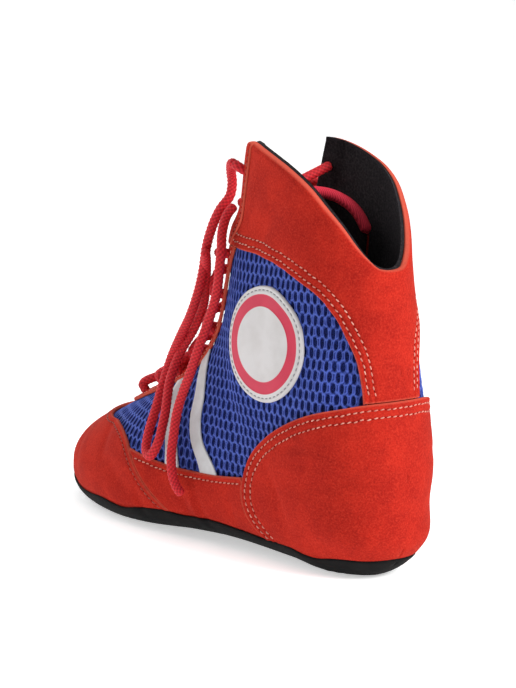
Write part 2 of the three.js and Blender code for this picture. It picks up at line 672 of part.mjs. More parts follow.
// The share of the half girth that lies inset beyond the throat's edge, on one side
function aroundThroat(at, side, inset) {
  const ridgeY = skin(at, 0).y;
  let [low, high] = [0, 0.5];
  for (let i = 0; i < 24; i += 1) {
    const middle = (low + high) / 2;
    if (Math.abs(skin(at, side * middle).y - ridgeY) < throatHalf(at)) low = middle;
    else high = middle;
  }
  return side * (low + inset / sectionAt(at, side).total);
}

// One bar of the lacing, from an eyelet on one side to the next row's on the other. It rides
// over the edges of the eyestay and on the tongue between them.
const crossingSteps = 7;
function laceBar(fromAt, toAt) {
  const lift = laceDiameter / 2 + laceClearance;
  const spots = [-1, -0.5, 0.5, 1].map((place) => {
    const at = fromAt + ((toAt - fromAt) * (place + 1)) / 2;
    const inset = Math.abs(place) < 1 ? 0 : eyeletInset;
    return skinOffset(at, aroundThroat(at, Math.sign(place), inset), lift);
  });
  const { out } = ridgeFrame((fromAt + toAt) / 2);
  const between = [0.15, 0.35, 0.5, 0.65, 0.85].map((share) => {
    const point = spots[1].clone().lerp(spots[2], share);
    const at = fromAt + (toAt - fromAt) * (0.25 + share / 2);
    const around = aroundThroat(at, Math.sign(share - 0.5), 0) * Math.abs(2 * share - 1);
    const bed = tonguePoint(at, around);
    return point.addScaledVector(out, Math.max(0, bed.sub(point).dot(out) + lift));
  });
  return cordAlong([spots[0], spots[1], ...between, spots[2], spots[3]], crossingSteps);
}
function laceCrossings() {
  const bars = [];
  for (let i = 0; i < eyeletRows.length - 1; i += 1) {
    bars.push(laceBar(eyeletRows[i], eyeletRows[i + 1]), laceBar(eyeletRows[i + 1], eyeletRows[i]));
  }
  return bars.reduce((joined, bar) => joined.add(bar));
}

const group = new THREE.Group();
function add(name, made, color, roughness) {
  const mesh = made.getMesh();
  const geometry = new THREE.BufferGeometry()
    .setAttribute("position", new THREE.BufferAttribute(new Float32Array(mesh.vertProperties), 3))
    .setIndex(new THREE.BufferAttribute(new Uint32Array(mesh.triVerts), 1));
  const piece = new THREE.Mesh(geometry, new THREE.MeshStandardMaterial({ color, roughness, metalness: 0 }));
  piece.name = name;
  group.add(piece);
}
const suedeRed = 0xc83a2c;
const meshBlue = 0x2a49b4;
const bandWhite = 0xd6d6d4;
const soleBlack = 0x1c1c1c;
const laceRed = 0xc01e26;
add("outsole", outsole(), soleBlack, 0.7);
add("insole", insole(), soleBlack, 0.9);
add("upper", upperWall(), meshBlue, 0.8);
add("tongue", tongue(), suedeRed, 0.9);
add("toe_cap", toeCap(), suedeRed, 0.9);
add("heel_counter", heelCounter(), suedeRed, 0.9);
add("rand_outer", rand(outerSide), suedeRed, 0.9);
add("rand_inner", rand(innerSide), suedeRed, 0.9);
add("ankle_cuff", ankleCuff(), suedeRed, 0.9);
add("eyestay", eyestay(), suedeRed, 0.9);
for (const [place, line] of Object.entries(bandLines)) {
  add(`band_${place}_outer`, saddleBand(line, outerSide), bandWhite, 0.6);
  add(`band_${place}_inner`, saddleBand(line, innerSide), bandWhite, 0.6);
}
add("side_patch", sidePatch(), bandWhite, 0.5);
add("lace_crossings", laceCrossings(), laceRed, 0.8);
add("lace_bar_upper", freeLace(upperBar, barSteps), laceRed, 0.8);
add("lace_bar_lower", freeLace(lowerBar, barSteps), laceRed, 0.8);
add("lace_loop", freeLace(laceLoop, laceSteps), laceRed, 0.8);
add("lace_tail", freeLace(laceTail, laceSteps), laceRed, 0.8);

// The origin is on the floor under the middle of the heel.
group.position.x = -heelSeat;

export default group;
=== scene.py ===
"""A soft ankle-high wrestling boot for the left foot, standing empty on its sole.

Working lengths are in millimetres from the back of the heel, and each finished mesh is put in the
row's frame in metres. After the last, which gives the boot its shape, and the studio, the pieces
follow from the ground up and from the seams on: sole, suede with its stitches, lining, sock liner,
mesh, bands, patch, tongue, lace.
"""

import bpy
import numpy as np
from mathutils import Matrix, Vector


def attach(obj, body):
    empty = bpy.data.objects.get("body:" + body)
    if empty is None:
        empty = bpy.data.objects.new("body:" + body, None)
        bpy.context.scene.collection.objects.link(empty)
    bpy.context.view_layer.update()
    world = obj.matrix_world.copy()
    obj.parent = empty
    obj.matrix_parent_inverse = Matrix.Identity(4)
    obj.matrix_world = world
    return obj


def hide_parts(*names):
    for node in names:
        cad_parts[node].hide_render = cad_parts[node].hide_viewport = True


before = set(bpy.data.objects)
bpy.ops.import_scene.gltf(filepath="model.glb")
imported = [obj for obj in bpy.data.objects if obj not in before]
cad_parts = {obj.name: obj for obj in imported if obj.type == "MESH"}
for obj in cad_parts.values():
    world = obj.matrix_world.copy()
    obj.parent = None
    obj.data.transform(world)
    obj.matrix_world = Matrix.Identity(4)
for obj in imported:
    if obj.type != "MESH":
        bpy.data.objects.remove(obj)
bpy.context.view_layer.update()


# The last. The upper is drawn over a wooden foot, which a last maker measures by its girths. Each
# girth is a closed curve in a plane that holds the y direction: the planes stand upright along the
# foot and fan round the ankle until they lie across the shaft.
LENGTH, INSTEP, SHAFT, HEEL_SEAT = 275.0, 107.0, 99.0, 44.0
BALL, HEEL, ANKLE = 91.0, 70.0, 62.0
# at; back as share of the length, of the instep height, of the shaft; ridge likewise; breadth;
# outer, inner and drift as shares of it; widest place; exponents below and above it
GIRTHS = np.array([
    (0.00, 1.000, 0.205, 0, 1.000, 0.205, 0, BALL, 0.000, 0.000, -0.110, .50, 2.2, 2.1),
    (0.05, 0.989, 0.084, 0, 0.983, 0.300, 0, BALL, 0.203, 0.192, -0.110, .50, 2.3, 2.0),
    (0.12, 0.953, 0.019, 0, 0.938, 0.393, 0, BALL, 0.346, 0.335, -0.088, .48, 2.6, 1.9),
    (0.22, 0.865, -0.019, 0, 0.851, 0.495, 0, BALL, 0.473, 0.450, -0.055, .43, 3.0, 1.85),
    (0.34, 0.742, -0.035, 0, 0.738, 0.630, 0, BALL, 0.522, 0.495, -0.022, .37, 3.1, 1.75),
    (0.45, 0.633, -0.025, 0, 0.649, 0.740, 0, BALL, 0.516, 0.473, 0.000, .34, 2.9, 1.7),
    (0.55, 0.516, 0.000, 0, 0.573, 0.856, 0, BALL, 0.462, 0.429, 0.006, .33, 2.6, 1.75),
    (0.64, 0.393, 0.005, 0, 0.516, 1.003, 0, HEEL, 0.536, 0.521, 0.006, .33, 2.35, 1.9),
    (0.72, 0.247, -0.010, 0, 0.489, 1.000, 0.18, HEEL, 0.507, 0.520, -0.006, .33, 2.2, 2.1),
    (0.79, 0.122, -0.020, 0, 0.474, 1.000, 0.36, HEEL, 0.505, 0.540, -0.012, .35, 2.15, 2.3),
    (0.85, 0.031, 0.100, 0, 0.462, 1.000, 0.53, HEEL, 0.510, 0.555, -0.018, .38, 2.2, 2.4),
    (0.90, -0.002, 0.411, 0, 0.450, 1.000, 0.67, ANKLE, 0.556, 0.575, -0.016, .40, 2.3, 2.4),
    (0.95, 0.013, 0.850, 0, 0.428, 1.000, 0.82, ANKLE, 0.510, 0.525, -0.010, .44, 2.2, 2.4),
    (1.00, 0.034, 1.000, 0.43, 0.398, 1.000, 1.00, ANKLE, 0.492, 0.476, 0.000, .50, 2.1, 2.5),
    (1.07, 0.050, 1.000, 1.02, 0.362, 1.000, 1.20, ANKLE, 0.500, 0.484, 0.000, .50, 2.1, 2.5),
])
# Girths along the boot, and steps round half of each
ROWS, HALF = 430, 170


def through(xs, ys, x, turning=False):
    """Cubic through knots. The slope at a knot weighs the spans on both sides by each other's
    length, and with turning it is flat where the rise changes sign."""
    rate = np.diff(ys) / np.diff(xs)
    left, right = xs[1:-1] - xs[:-2], xs[2:] - xs[1:-1]
    inner = (rate[:-1] * right + rate[1:] * left) / (left + right)
    if turning:
        most = 2 * np.minimum(abs(rate[:-1]), abs(rate[1:]))
        inner = np.where(rate[:-1] * rate[1:] > 0, np.sign(inner) * np.minimum(abs(inner), most), 0)
    slope = np.concatenate([rate[:1], inner, rate[-1:]])
    c = np.clip(x, xs[0], xs[-1])
    i = np.clip(np.searchsorted(xs, c) - 1, 0, len(xs) - 2)
    h = xs[i + 1] - xs[i]
    u = (c - xs[i]) / h
    v = 1 - u
    return (v * v * (1 + 2 * u) * ys[i] + u * u * (1 + 2 * v) * ys[i + 1]
            + u * v * v * h * slope[i] - u * u * v * h * slope[i + 1])


def girth_rows(at):
    """Each half girth from ridge to back. Above the widest point the curve is a quarter of a
    superellipse with the upper exponent, below it a quarter with the lower one. It is then
    spaced evenly by its own length."""
    table = GIRTHS
    knots = np.concatenate([-table[2:0:-1, 0], table[:, 0]])

    def column(values, odd=False):
        ghost = -values[2:0:-1] if odd else values[2:0:-1]
        return through(knots, np.concatenate([ghost, values]), at)[:, None]
    broad = table[:, 7]
    back_x, back_z = column(table[:, 1] * LENGTH), column(table[:, 2] * INSTEP + table[:, 3] * SHAFT)
    ridge_x, ridge_z = column(table[:, 4] * LENGTH), column(table[:, 5] * INSTEP + table[:, 6] * SHAFT)
    drift, widest = column(table[:, 10] * broad), column(table[:, 11])
    low, high = column(table[:, 12]), column(table[:, 13])
    steps = 40
    i = np.arange(2 * steps + 1)[None, :]
    upper = i <= steps
    angle = (np.pi / 2) * np.where(upper, 1 - i / steps, 2 - i / steps)
    power = 2 / np.where(upper, high, low)
    sine, cosine = abs(np.sin(angle)), abs(np.cos(angle))
    along = np.where(upper, widest + (1 - widest) * sine ** power, widest * (1 - cosine ** power))
    out = np.where(upper, cosine, sine) ** power
    halves = []
    for side, width in ((1, table[:, 8]), (-1, table[:, 9])):
        reach = column(width * broad, odd=True)
        curve = np.stack([back_x + (ridge_x - back_x) * along, drift + side * reach * out,
                          back_z + (ridge_z - back_z) * along], -1)
        run = np.cumsum(np.linalg.norm(np.diff(curve, axis=1), axis=2), 1)
        run = np.concatenate([np.zeros((len(at), 1)), run], 1)
        share = np.linspace(0, 1, HALF + 1)
        even = np.stack([np.stack([np.interp(share * r[-1], r, c[:, k]) for k in range(3)], 1)
                         for r, c in zip(run, curve)])
        halves.append(even)
    return np.concatenate([halves[1][:, ::-1], halves[0][:, 1:]], 1)


def ring_normals(skin):
    """Outward normals: the step round the girth crossed with the step along the girths."""
    ring = skin[:, :-1]
    around = np.roll(ring, -1, 1) - np.roll(ring, 1, 1)
    normal = np.cross(around, np.gradient(ring, axis=0))
    normal /= np.maximum(np.linalg.norm(normal, axis=2, keepdims=True), 1e-9)
    normal[0] = (1, 0, 0)
    return np.concatenate([normal, normal[:, :1]], 1)


AT_END = GIRTHS[-1, 0]
girth_at = np.linspace(0, AT_END, ROWS)
last_skin = girth_rows(girth_at)
last_normal = ring_normals(last_skin)

# Troughs and swells that handling has left in the soft empty boot.
# side; x and z of the middle; lean in degrees; half length and half width; height
DENTS = (
    (1, 26, 47, -8, 30, 6, -1.6), (1, 14, 25, -4, 26, 9, 1.3), (1, 58, 30, 70, 15, 6, -1.0),
    (1, 8, 66, -12, 14, 3.5, -0.9), (1, 40, 60, -30, 20, 5, 0.8), (1, 4, 34, 6, 12, 3, -0.8),
    (1, 30, 118, -52, 24, 6, -1.3), (1, 50, 136, -38, 22, 7, 1.0), (1, 78, 158, -50, 20, 6, -1.2),
    (1, 22, 96, 80, 16, 4, -0.8), (1, 66, 150, -30, 16, 3.5, -0.8), (1, 90, 178, -62, 16, 5, 0.8),
    (1, 100, 74, 62, 22, 6, -1.2), (1, 116, 62, 74, 16, 6, -0.9), (1, 150, 44, 70, 12, 5, -0.9),
    (1, 120, 20, 82, 9, 2.2, -0.8), (1, 125, 20, 82, 9, 2.0, 0.7), (1, 131, 19, 78, 8, 2.2, -0.7),
    (1, 96, 22, 84, 8, 3.0, -0.6), (1, 186, 27, 25, 17, 5, -1.3), (1, 214, 22, 10, 20, 7, 1.0),
    (1, 204, 42, 75, 12, 4, -0.9), (1, 164, 14, 80, 7, 2.6, -0.6), (1, 238, 30, 60, 14, 5, -0.8),
    (1, 92, 108, 90, 30, 15, 3.2), (1, 46, 108, 90, 30, 12, -1.5),
    (1, 42, 63, -6, 16, 1.8, -0.9), (1, 36, 56, -4, 14, 1.7, -0.7), (1, 20, 72, -14, 13, 1.8, -0.8),
    (1, 12, 52, 4, 13, 1.8, -0.8), (1, 60, 40, 64, 10, 1.8, -0.6), (1, 36, 128, -46, 13, 2.0, -0.6),
    (1, 60, 144, -44, 13, 2.0, -0.5), (1, 20, 104, 74, 12, 2.0, -0.5), (1, 6, 20, 0, 15, 8, 1.8),
    (-1, 6, 19, 0, 15, 8, 2.2), (-1, 12, 60, 0, 12, 2.0, -0.6), (-1, 44, 62, -8, 13, 1.8, -0.6),
    (-1, 30, 40, 4, 26, 8, -1.5), (-1, 16, 22, 0, 24, 9, 1.0), (-1, 36, 112, -60, 22, 6, -1.2),
    (-1, 62, 140, -45, 22, 7, 1.0), (-1, 84, 100, 66, 26, 7, -1.4), (-1, 118, 58, 72, 18, 6, -1.0),
    (-1, 112, 20, 80, 9, 3.0, -0.7), (-1, 190, 28, 20, 18, 5, -1.2), (-1, 216, 24, 0, 18, 7, 0.8),
    (-1, 204, 42, 75, 12, 4, -0.9), (-1, 150, 42, 68, 14, 5, -1.0),
)
for side, x, z, lean, length, width, height in DENTS:
    cosine, sine = np.cos(np.radians(lean)), np.sin(np.radians(lean))
    dx, dz = last_skin[..., 0] - x, last_skin[..., 2] - z
    swell = np.exp(-((dx * cosine + dz * sine) / length) ** 2 - ((dz * cosine - dx * sine) / width) ** 2)
    swell /= 1 + np.exp(-side * last_skin[..., 1] / 4)
    last_skin += last_normal * (height * swell)[..., None]
last_normal = ring_normals(last_skin)


def on_last(at, around, out=0.0):
    """A point of the skin and its normal, bilinear between the nearest girths and columns.
    around runs from -1 at the back over 0 on the ridge to 1 at the back, + on the outer side."""
    at, around = np.broadcast_arrays(np.asarray(at, float), np.asarray(around, float))
    i = np.clip(at / AT_END * (ROWS - 1), 0, ROWS - 1.0001)
    j = np.clip((around + 1) * HALF, 0, 2 * HALF - 1e-4)
    i0, j0 = i.astype(int), j.astype(int)
    u, v = (i - i0)[..., None], (j - j0)[..., None]

    def mix(grid):
        low = grid[i0, j0] * (1 - v) + grid[i0, j0 + 1] * v
        high = grid[i0 + 1, j0] * (1 - v) + grid[i0 + 1, j0 + 1] * v
        return low * (1 - u) + high * u
    normal = mix(last_normal)
    normal /= np.linalg.norm(normal, axis=-1, keepdims=True)
    return mix(last_skin) + normal * np.asarray(out)[..., None], normal


def body(name, points, faces, uv=None, rim=None):
    """Puts points in millimetres and faces of three or four corners into a mesh object. rim is one
    more value for each point, which its material reads as the attribute of that name."""
    mesh = bpy.data.meshes.new(name)
    sides = faces.shape[1]
    mesh.vertices.add(len(points))
    mesh.vertices.foreach_set("co", ((points - (HEEL_SEAT, 0, 0)) / 1000).astype(np.float32).ravel())
    mesh.loops.add(faces.size)
    mesh.loops.foreach_set("vertex_index", faces.astype(np.int32).ravel())
    mesh.polygons.add(len(faces))
    mesh.polygons.foreach_set("loop_start", np.arange(0, faces.size, sides, dtype=np.int32))
    mesh.polygons.foreach_set("use_smooth", np.ones(len(faces), bool))
    if uv is not None:
        layer = mesh.uv_layers.new(name="UVMap")
        layer.data.foreach_set("uv", uv[faces.ravel()].astype(np.float32).ravel())
    if rim is not None:
        mesh.attributes.new("rim", "FLOAT", "POINT").data.foreach_set("value", rim.astype(np.float32))
    mesh.update(calc_edges=True)
    mesh.validate()
    made = bpy.data.objects.new(name, mesh)
    bpy.context.scene.collection.objects.link(made)
    return made


def fit(piece, material, slot, *nodes):
    """Gives a piece its material and lets it stand for CAD nodes; slot is not used."""
    piece.data.materials.append(material)
    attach(piece, "root")
    if nodes:
        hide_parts(*nodes)
    return piece


def linear(hex_color):
    """An sRGB hex value as linear red, green, blue and alpha."""
    value = np.array([int(hex_color[k:k + 2], 16) for k in (1, 3, 5)]) / 255
    return (*np.where(value <= 0.04045, value / 12.92, ((value + 0.055) / 1.055) ** 2.4), 1)


def node(material, kind, settings=None, **links):
    """Adds a node, sets its properties and unlinked sockets, and links the sockets named."""
    made = material.node_tree.nodes.new(kind)
    for key, value in (settings or {}).items():
        if isinstance(key, str) and hasattr(made, key):
            setattr(made, key, value)
        else:
            made.inputs[key].default_value = value
    for key, source in links.items():
        target = made.inputs[int(key[1:])] if key[0] == "_" else made.inputs[key]
        material.node_tree.links.new(source, target)
    return made


def new_material(name, roughness, specular=0.5, sheen=0.0, sheen_tint="#ffffff"):
    """A material with one principled shader, whose even values sit on its own sockets."""
    made = bpy.data.materials.new(name)
    made.use_nodes = True
    shader = made.node_tree.nodes["Principled BSDF"]
    shader.inputs["Roughness"].default_value = roughness
    shader.inputs["Specular IOR Level"].default_value = specular
    shader.inputs["Sheen Weight"].default_value = sheen
    shader.inputs["Sheen Roughness"].default_value = 0.5
    shader.inputs["Sheen Tint"].default_value = linear(sheen_tint)
    return made


def surface(material, color, relief=None, roughness=None):
    """Links the patterns of a material to its shader."""
    shader = material.node_tree.nodes["Principled BSDF"]
    for name, source in (("Base Color", color), ("Normal", relief), ("Roughness", roughness)):
        if source is not None:
            material.node_tree.links.new(source, shader.inputs[name])


# The studio: a pale seamless floor under broad soft lamps, with the camera where the photographer
# stood, behind the heel and to the outer side.
def aimed(name, data, place, aim):
    """An object at a place, looking at a point."""
    made = bpy.data.objects.new(name, data)
    made.location = place
    made.rotation_euler = (Vector(aim) - Vector(place)).to_track_quat("-Z", "Y").to_euler()
    bpy.context.scene.collection.objects.link(made)
    return made


eye = bpy.data.cameras.new("camera")
eye.lens, eye.sensor_height, eye.sensor_fit = 133.8, 36, "VERTICAL"
bpy.context.scene.camera = aimed("camera", eye, (-.965, .7426, .3237), (.076, 0, .0994))
# Lamps by place in metres, width and watts
for name, place, size, power in (("key", (-1.35, -.45, 1.0), 0.7, 30), ("fill", (-.5, 1.3, .8), 1.0, 0.6),
                                 ("front", (.9, .6, .9), 1.0, 5), ("top", (.0, .1, 1.6), 1.2, 6)):
    lamp = bpy.data.lights.new(name, "AREA")
    lamp.shape, lamp.size, lamp.energy = "DISK", size, power
    aimed(name, lamp, place, (.07, 0, .09))
sky = bpy.data.worlds.new("soft studio")
bpy.context.scene.world = sky
sky.use_nodes = True
sky.node_tree.nodes["Background"].inputs["Color"].default_value = linear("#ffffff")
sky.node_tree.nodes["Background"].inputs["Strength"].default_value = 0.18
bpy.context.scene.view_settings.view_transform = "Standard"

# A board of matt, nearly white paper. Its profile is a straight floor, a quarter of a circle and a
# straight wall behind the boot, and the floor lies a hair below the sole
BOARD_BACK, BOARD_FRONT, BOARD_HALF_WIDTH, BEND_RADIUS, BOARD_DROP = -2600, 1600, 3200, 600, .15
BOARD_ROWS, BOARD_COLUMNS, BEND_FROM, BEND_TO = 60, 9, .45, .75
run = np.linspace(0, 1, BOARD_ROWS)
bend = np.clip((run - BEND_FROM) / (BEND_TO - BEND_FROM), 0, 1) * np.pi / 2
sweep_x = np.where(run < BEND_FROM, run / BEND_FROM * BOARD_FRONT, BOARD_FRONT + BEND_RADIUS * np.sin(bend))
sweep_x[0] = BOARD_BACK
sweep_z = np.where(run < BEND_TO, BEND_RADIUS * (1 - np.cos(bend)), BEND_RADIUS + (run - BEND_TO) * 6000)
sweep_y = np.linspace(-BOARD_HALF_WIDTH, BOARD_HALF_WIDTH, BOARD_COLUMNS)
board = np.stack([np.repeat(sweep_x[:, None], BOARD_COLUMNS, 1), np.repeat(sweep_y[None], BOARD_ROWS, 0),
                  np.repeat(sweep_z[:, None], BOARD_COLUMNS, 1) - BOARD_DROP], -1)


def grid_faces(rows, columns):
    """Quads of a grid, wound so that rows x columns points to the front."""
    corner = np.arange((rows - 1) * columns).reshape(-1, columns)[:, :-1].ravel()
    return np.stack([corner, corner + columns, corner + columns + 1, corner + 1], 1)


floor = body("floor", board.reshape(-1, 3), grid_faces(BOARD_ROWS, BOARD_COLUMNS))
paper = new_material("matt paper", 0.95, 0.1)
paper_shader = paper.node_tree.nodes["Principled BSDF"]
paper_shader.inputs["Base Color"].default_value = linear("#f6f6f6")
paper_shader.inputs["Emission Color"].default_value = linear("#ffffff")
paper_shader.inputs["Emission Strength"].default_value = 0.5
floor.data.materials.append(paper)


# The sole: thin black rubber, moulded in one piece and cemented under the lasted upper. It is flat
# under heel and ball, turned up a little at toe and arch, and its edge stands proud of the suede.
SEAM_HEIGHT = 8.0
# Share of the length; height of the seam and of the underside as shares of the seam's height
PROFILE = np.array([
    (-.04, 1.25, .60), (.02, 1.10, .25), (.07, .90, 0), (.25, .85, 0), (.36, 1.10, .22),
    (.43, 1.25, .35), (.50, 1.20, .18), (.58, 1.00, 0), (.77, .85, 0), (.87, 1.05, .20),
    (.94, 1.35, .55), (1.00, 1.80, 1.10), (1.04, 2.10, 1.40)])


def seam_z(x):
    """The height at which the sole meets the upper, by the distance from the heel."""
    return through(PROFILE[:, 0] * LENGTH, PROFILE[:, 1] * SEAM_HEIGHT, x, turning=True)


def under_z(x):
    """The height of the sole's underside."""
    return through(PROFILE[:, 0] * LENGTH, PROFILE[:, 2] * SEAM_HEIGHT, x, turning=True)


def sheet_grid(at_from, at_to, rows, around_from, around_to, columns):
    """Places on the skin, row by row, with the triangles between them."""
    at, around = np.meshgrid(np.linspace(at_from, at_to, rows),
                             np.linspace(around_from, around_to, columns), indexing="ij")
    quads = grid_faces(rows, columns)
    return at, around, np.concatenate([quads[:, [0, 2, 1]], quads[:, [0, 3, 2]]])


def split(values, faces, field, keep_below):
    """Cuts triangles along the zero line of one column of values. New corners lie where the
    straight line along an edge crosses zero; the part below is kept or dropped."""
    f = values[:, field]
    f = np.where(abs(f) < 1e-4, 1e-4, f)
    above = f > 0
    count = above[faces].sum(1)
    mixed = faces[(count == 1) | (count == 2)]
    up = above[mixed]
    lone = np.where(up.sum(1) == 1, up.argmax(1), (~up).argmax(1))
    turn = (lone[:, None] + np.arange(3)) % 3
    a, b, c = np.take_along_axis(mixed, turn, 1).T
    low = np.stack([np.minimum(a, b), np.maximum(a, b)], 1)
    high = np.stack([np.minimum(a, c), np.maximum(a, c)], 1)
    edges, place = np.unique(np.concatenate([low, high]), axis=0, return_inverse=True)
    place = place.ravel() + len(values)
    t = (f[edges[:, 0]] / (f[edges[:, 0]] - f[edges[:, 1]]))[:, None]
    fresh = values[edges[:, 0]] * (1 - t) + values[edges[:, 1]] * t
    fresh[:, field] = 1e-4
    p, q = place[:len(a)], place[len(a):]
    tip, base = np.stack([a, p, q], 1), np.concatenate([np.stack([p, b, c], 1), np.stack([p, c, q], 1)])
    lone_up = above[a]
    kept = [faces[count == 3], tip[lone_up], base[~np.tile(lone_up, 2)]]
    if keep_below:
        kept += [faces[count == 0], tip[~lone_up], base[np.tile(lone_up, 2)]]
    return np.concatenate([values, fresh]), np.concatenate(kept)


def weld(points, faces, *more):
    """Joins corners that lie in one place and drops triangles that this leaves empty."""
    used, back = np.unique(faces, return_inverse=True)
    points = points[used]
    key, first, same = np.unique(np.round(points, 3), axis=0, return_index=True, return_inverse=True)
    faces = same.ravel()[back.reshape(faces.shape)]
    full = ((faces[:, 0] != faces[:, 1]) & (faces[:, 1] != faces[:, 2]) & (faces[:, 0] != faces[:, 2]))
    return (points[first], faces[full], *(m[used][first] for m in more))


def closed(top, bottom, faces, backed=False):
    """Two faces of a sheet and the walls along its open edges. A sheet that is backed by another
    one needs no under face."""
    edges = np.concatenate([faces[:, [0, 1]], faces[:, [1, 2]], faces[:, [2, 0]]])
    key = edges[:, 0].astype(np.int64) * len(top) + edges[:, 1]
    back = edges[:, 1].astype(np.int64) * len(top) + edges[:, 0]
    rim = edges[~np.isin(key, back)]
    a, b, n = rim[:, 0], rim[:, 1], len(top)
    walls = np.concatenate([np.stack([b, a, a + n], 1), np.stack([b, a + n, b + n], 1)])
    under = faces[:0] if backed else faces[:, ::-1] + n
    return np.concatenate([top, bottom]), np.concatenate([faces, under, walls])


# How far the rubber is drawn up over the suede, from heel to toe, as share of length and in mm: the
# cup was trimmed by hand, so its edge rises and falls
RUBBER_EDGE = np.array([
    (-.05, 2.0), (.03, 2.5), (.07, 3.4), (.11, 2.4), (.15, .8), (.185, 1.5), (.215, 3.4), (.25, 3.4),
    (.30, 3.0), (.40, 3.0), (.49, 2.5), (.556, 4.3), (.61, 3.4), (.655, 1.7), (.727, 3.8), (.80, 2.6),
    (.90, 2.2), (1.04, 2.0)])
# The rubber stands out by the lip and thins towards its edge; under the seam it fills the last up
# to the suede's inner face. The sheet is cut at the levels where its edge is rounded
LIP, LIP_ROUNDING, SUEDE, OVERLAP = 0.8, 0.65, 1.5, 0.06
LIP_LEVELS = (.1, .35, .8)


def rubber_edge_z(x):
    """The height of the rubber's trimmed edge."""
    return seam_z(x) + through(RUBBER_EDGE[:, 0] * LENGTH, RUBBER_EDGE[:, 1], x, turning=True)


at, around, faces = sheet_grid(0, .94, 220, -1, 1, 181)
skin, _ = on_last(at, around)
values = np.stack([at, around, rubber_edge_z(skin[..., 0]) - skin[..., 2],
                   skin[..., 2] - under_z(skin[..., 0])], -1).reshape(-1, 4)
values, faces = split(values, faces, 2, False)
for level in LIP_LEVELS:
    values[:, 2] -= level
    values, faces = split(values, faces, 2, True)
    values[:, 2] += level
values, faces = split(values, faces, 3, True)
skin, _ = on_last(values[:, 0], values[:, 1])
over_seam = np.clip((skin[:, 2] - seam_z(skin[:, 0]) + .9) / .5, 0, 1)
from_edge = np.clip(values[:, 2] / LIP_LEVELS[-1], 0, 1)
thinned = LIP - LIP_ROUNDING * (1 - np.sqrt(1 - (1 - from_edge) ** 2))
outside, _ = on_last(values[:, 0], values[:, 1], thinned)
base = under_z(outside[:, 0])
outside[:, 2] = np.maximum(outside[:, 2], base)
within, _ = on_last(values[:, 0], values[:, 1], (SUEDE + OVERLAP) * over_seam - SUEDE)
floor_z = np.minimum(under_z(within[:, 0]) + 3, seam_z(within[:, 0]) - .3)
within[:, 2] = np.maximum(within[:, 2], np.where(over_seam > 0, base + 1.2, floor_z))
outside, faces, within = weld(outside, faces, within)
points, faces = closed(outside, within, faces)

# Black rubber, cured in a blasted mould: a dull skin with grain 0.4 mm across, and under the foot
# fine ribs 2 mm apart in two crossing directions for grip.
rubber = new_material("moulded rubber", 0.8, 0.12)
place = node(rubber, "ShaderNodeTexCoord").outputs["Object"]
grit = node(rubber, "ShaderNodeTexNoise", {"Scale": 1 / .0004, "Detail": 2.0}, Vector=place).outputs["Fac"]
dust = node(rubber, "ShaderNodeTexNoise", {"Scale": 1 / .009, "Detail": 5.0}, Vector=place).outputs["Fac"]
dusty = node(rubber, "ShaderNodeMapRange", {"From Min": .42, "From Max": .72}, Value=dust).outputs[0]
tone = node(rubber, "ShaderNodeMix", {"data_type": "RGBA", 6: linear("#09090a"), 7: linear("#151413")},
            _0=dusty).outputs[2]
# A wave texture's crests are this far apart at a scale of one
WAVE = .314
rib_height = []
for turn in (45, -45):
    turned = node(rubber, "ShaderNodeMapping", {"Rotation": (0, 0, np.radians(turn)), "Scale": (1, 1, 0)},
                  Vector=place).outputs[0]
    rib = node(rubber, "ShaderNodeTexWave", {"Scale": WAVE / .002}, Vector=turned)
    rib_height.append(rib.outputs["Fac"])
ribs = node(rubber, "ShaderNodeMath", {"operation": "MAXIMUM"}, _0=rib_height[0],
            _1=rib_height[1]).outputs[0]
facing = node(rubber, "ShaderNodeNewGeometry").outputs["Normal"]
upward = node(rubber, "ShaderNodeSeparateXYZ", Vector=facing).outputs[2]
under = node(rubber, "ShaderNodeMapRange", {"From Min": -.8, "From Max": -.95}, Value=upward).outputs[0]
tread = node(rubber, "ShaderNodeMath", {"operation": "MULTIPLY"}, _0=ribs, _1=under).outputs[0]
moulding = node(rubber, "ShaderNodeBump", {"Strength": 1.0, "Distance": .0008}, Height=tread).outputs[0]
relief = node(rubber, "ShaderNodeBump", {"Strength": .5, "Distance": .0001}, Height=grit, Normal=moulding)
surface(rubber, tone, relief.outputs[0])
fit(body("outsole_rubber", points, faces), rubber, "sole_black", "outsole")


# The seams. A pattern cutter draws them in the side view, so each piece is bounded by side-view
# lines, by the throat along the ridge, and by the edge of the sole.
def rise(foot, shaft):
    """A height from its shares of the instep height and of the shaft."""
    return foot * INSTEP + shaft * SHAFT


def run_along(path):
    """The length of a path up to each of its points: the sum of the chords before it."""
    return np.concatenate([[0], np.cumsum(np.linalg.norm(np.diff(path, axis=0), axis=1))])


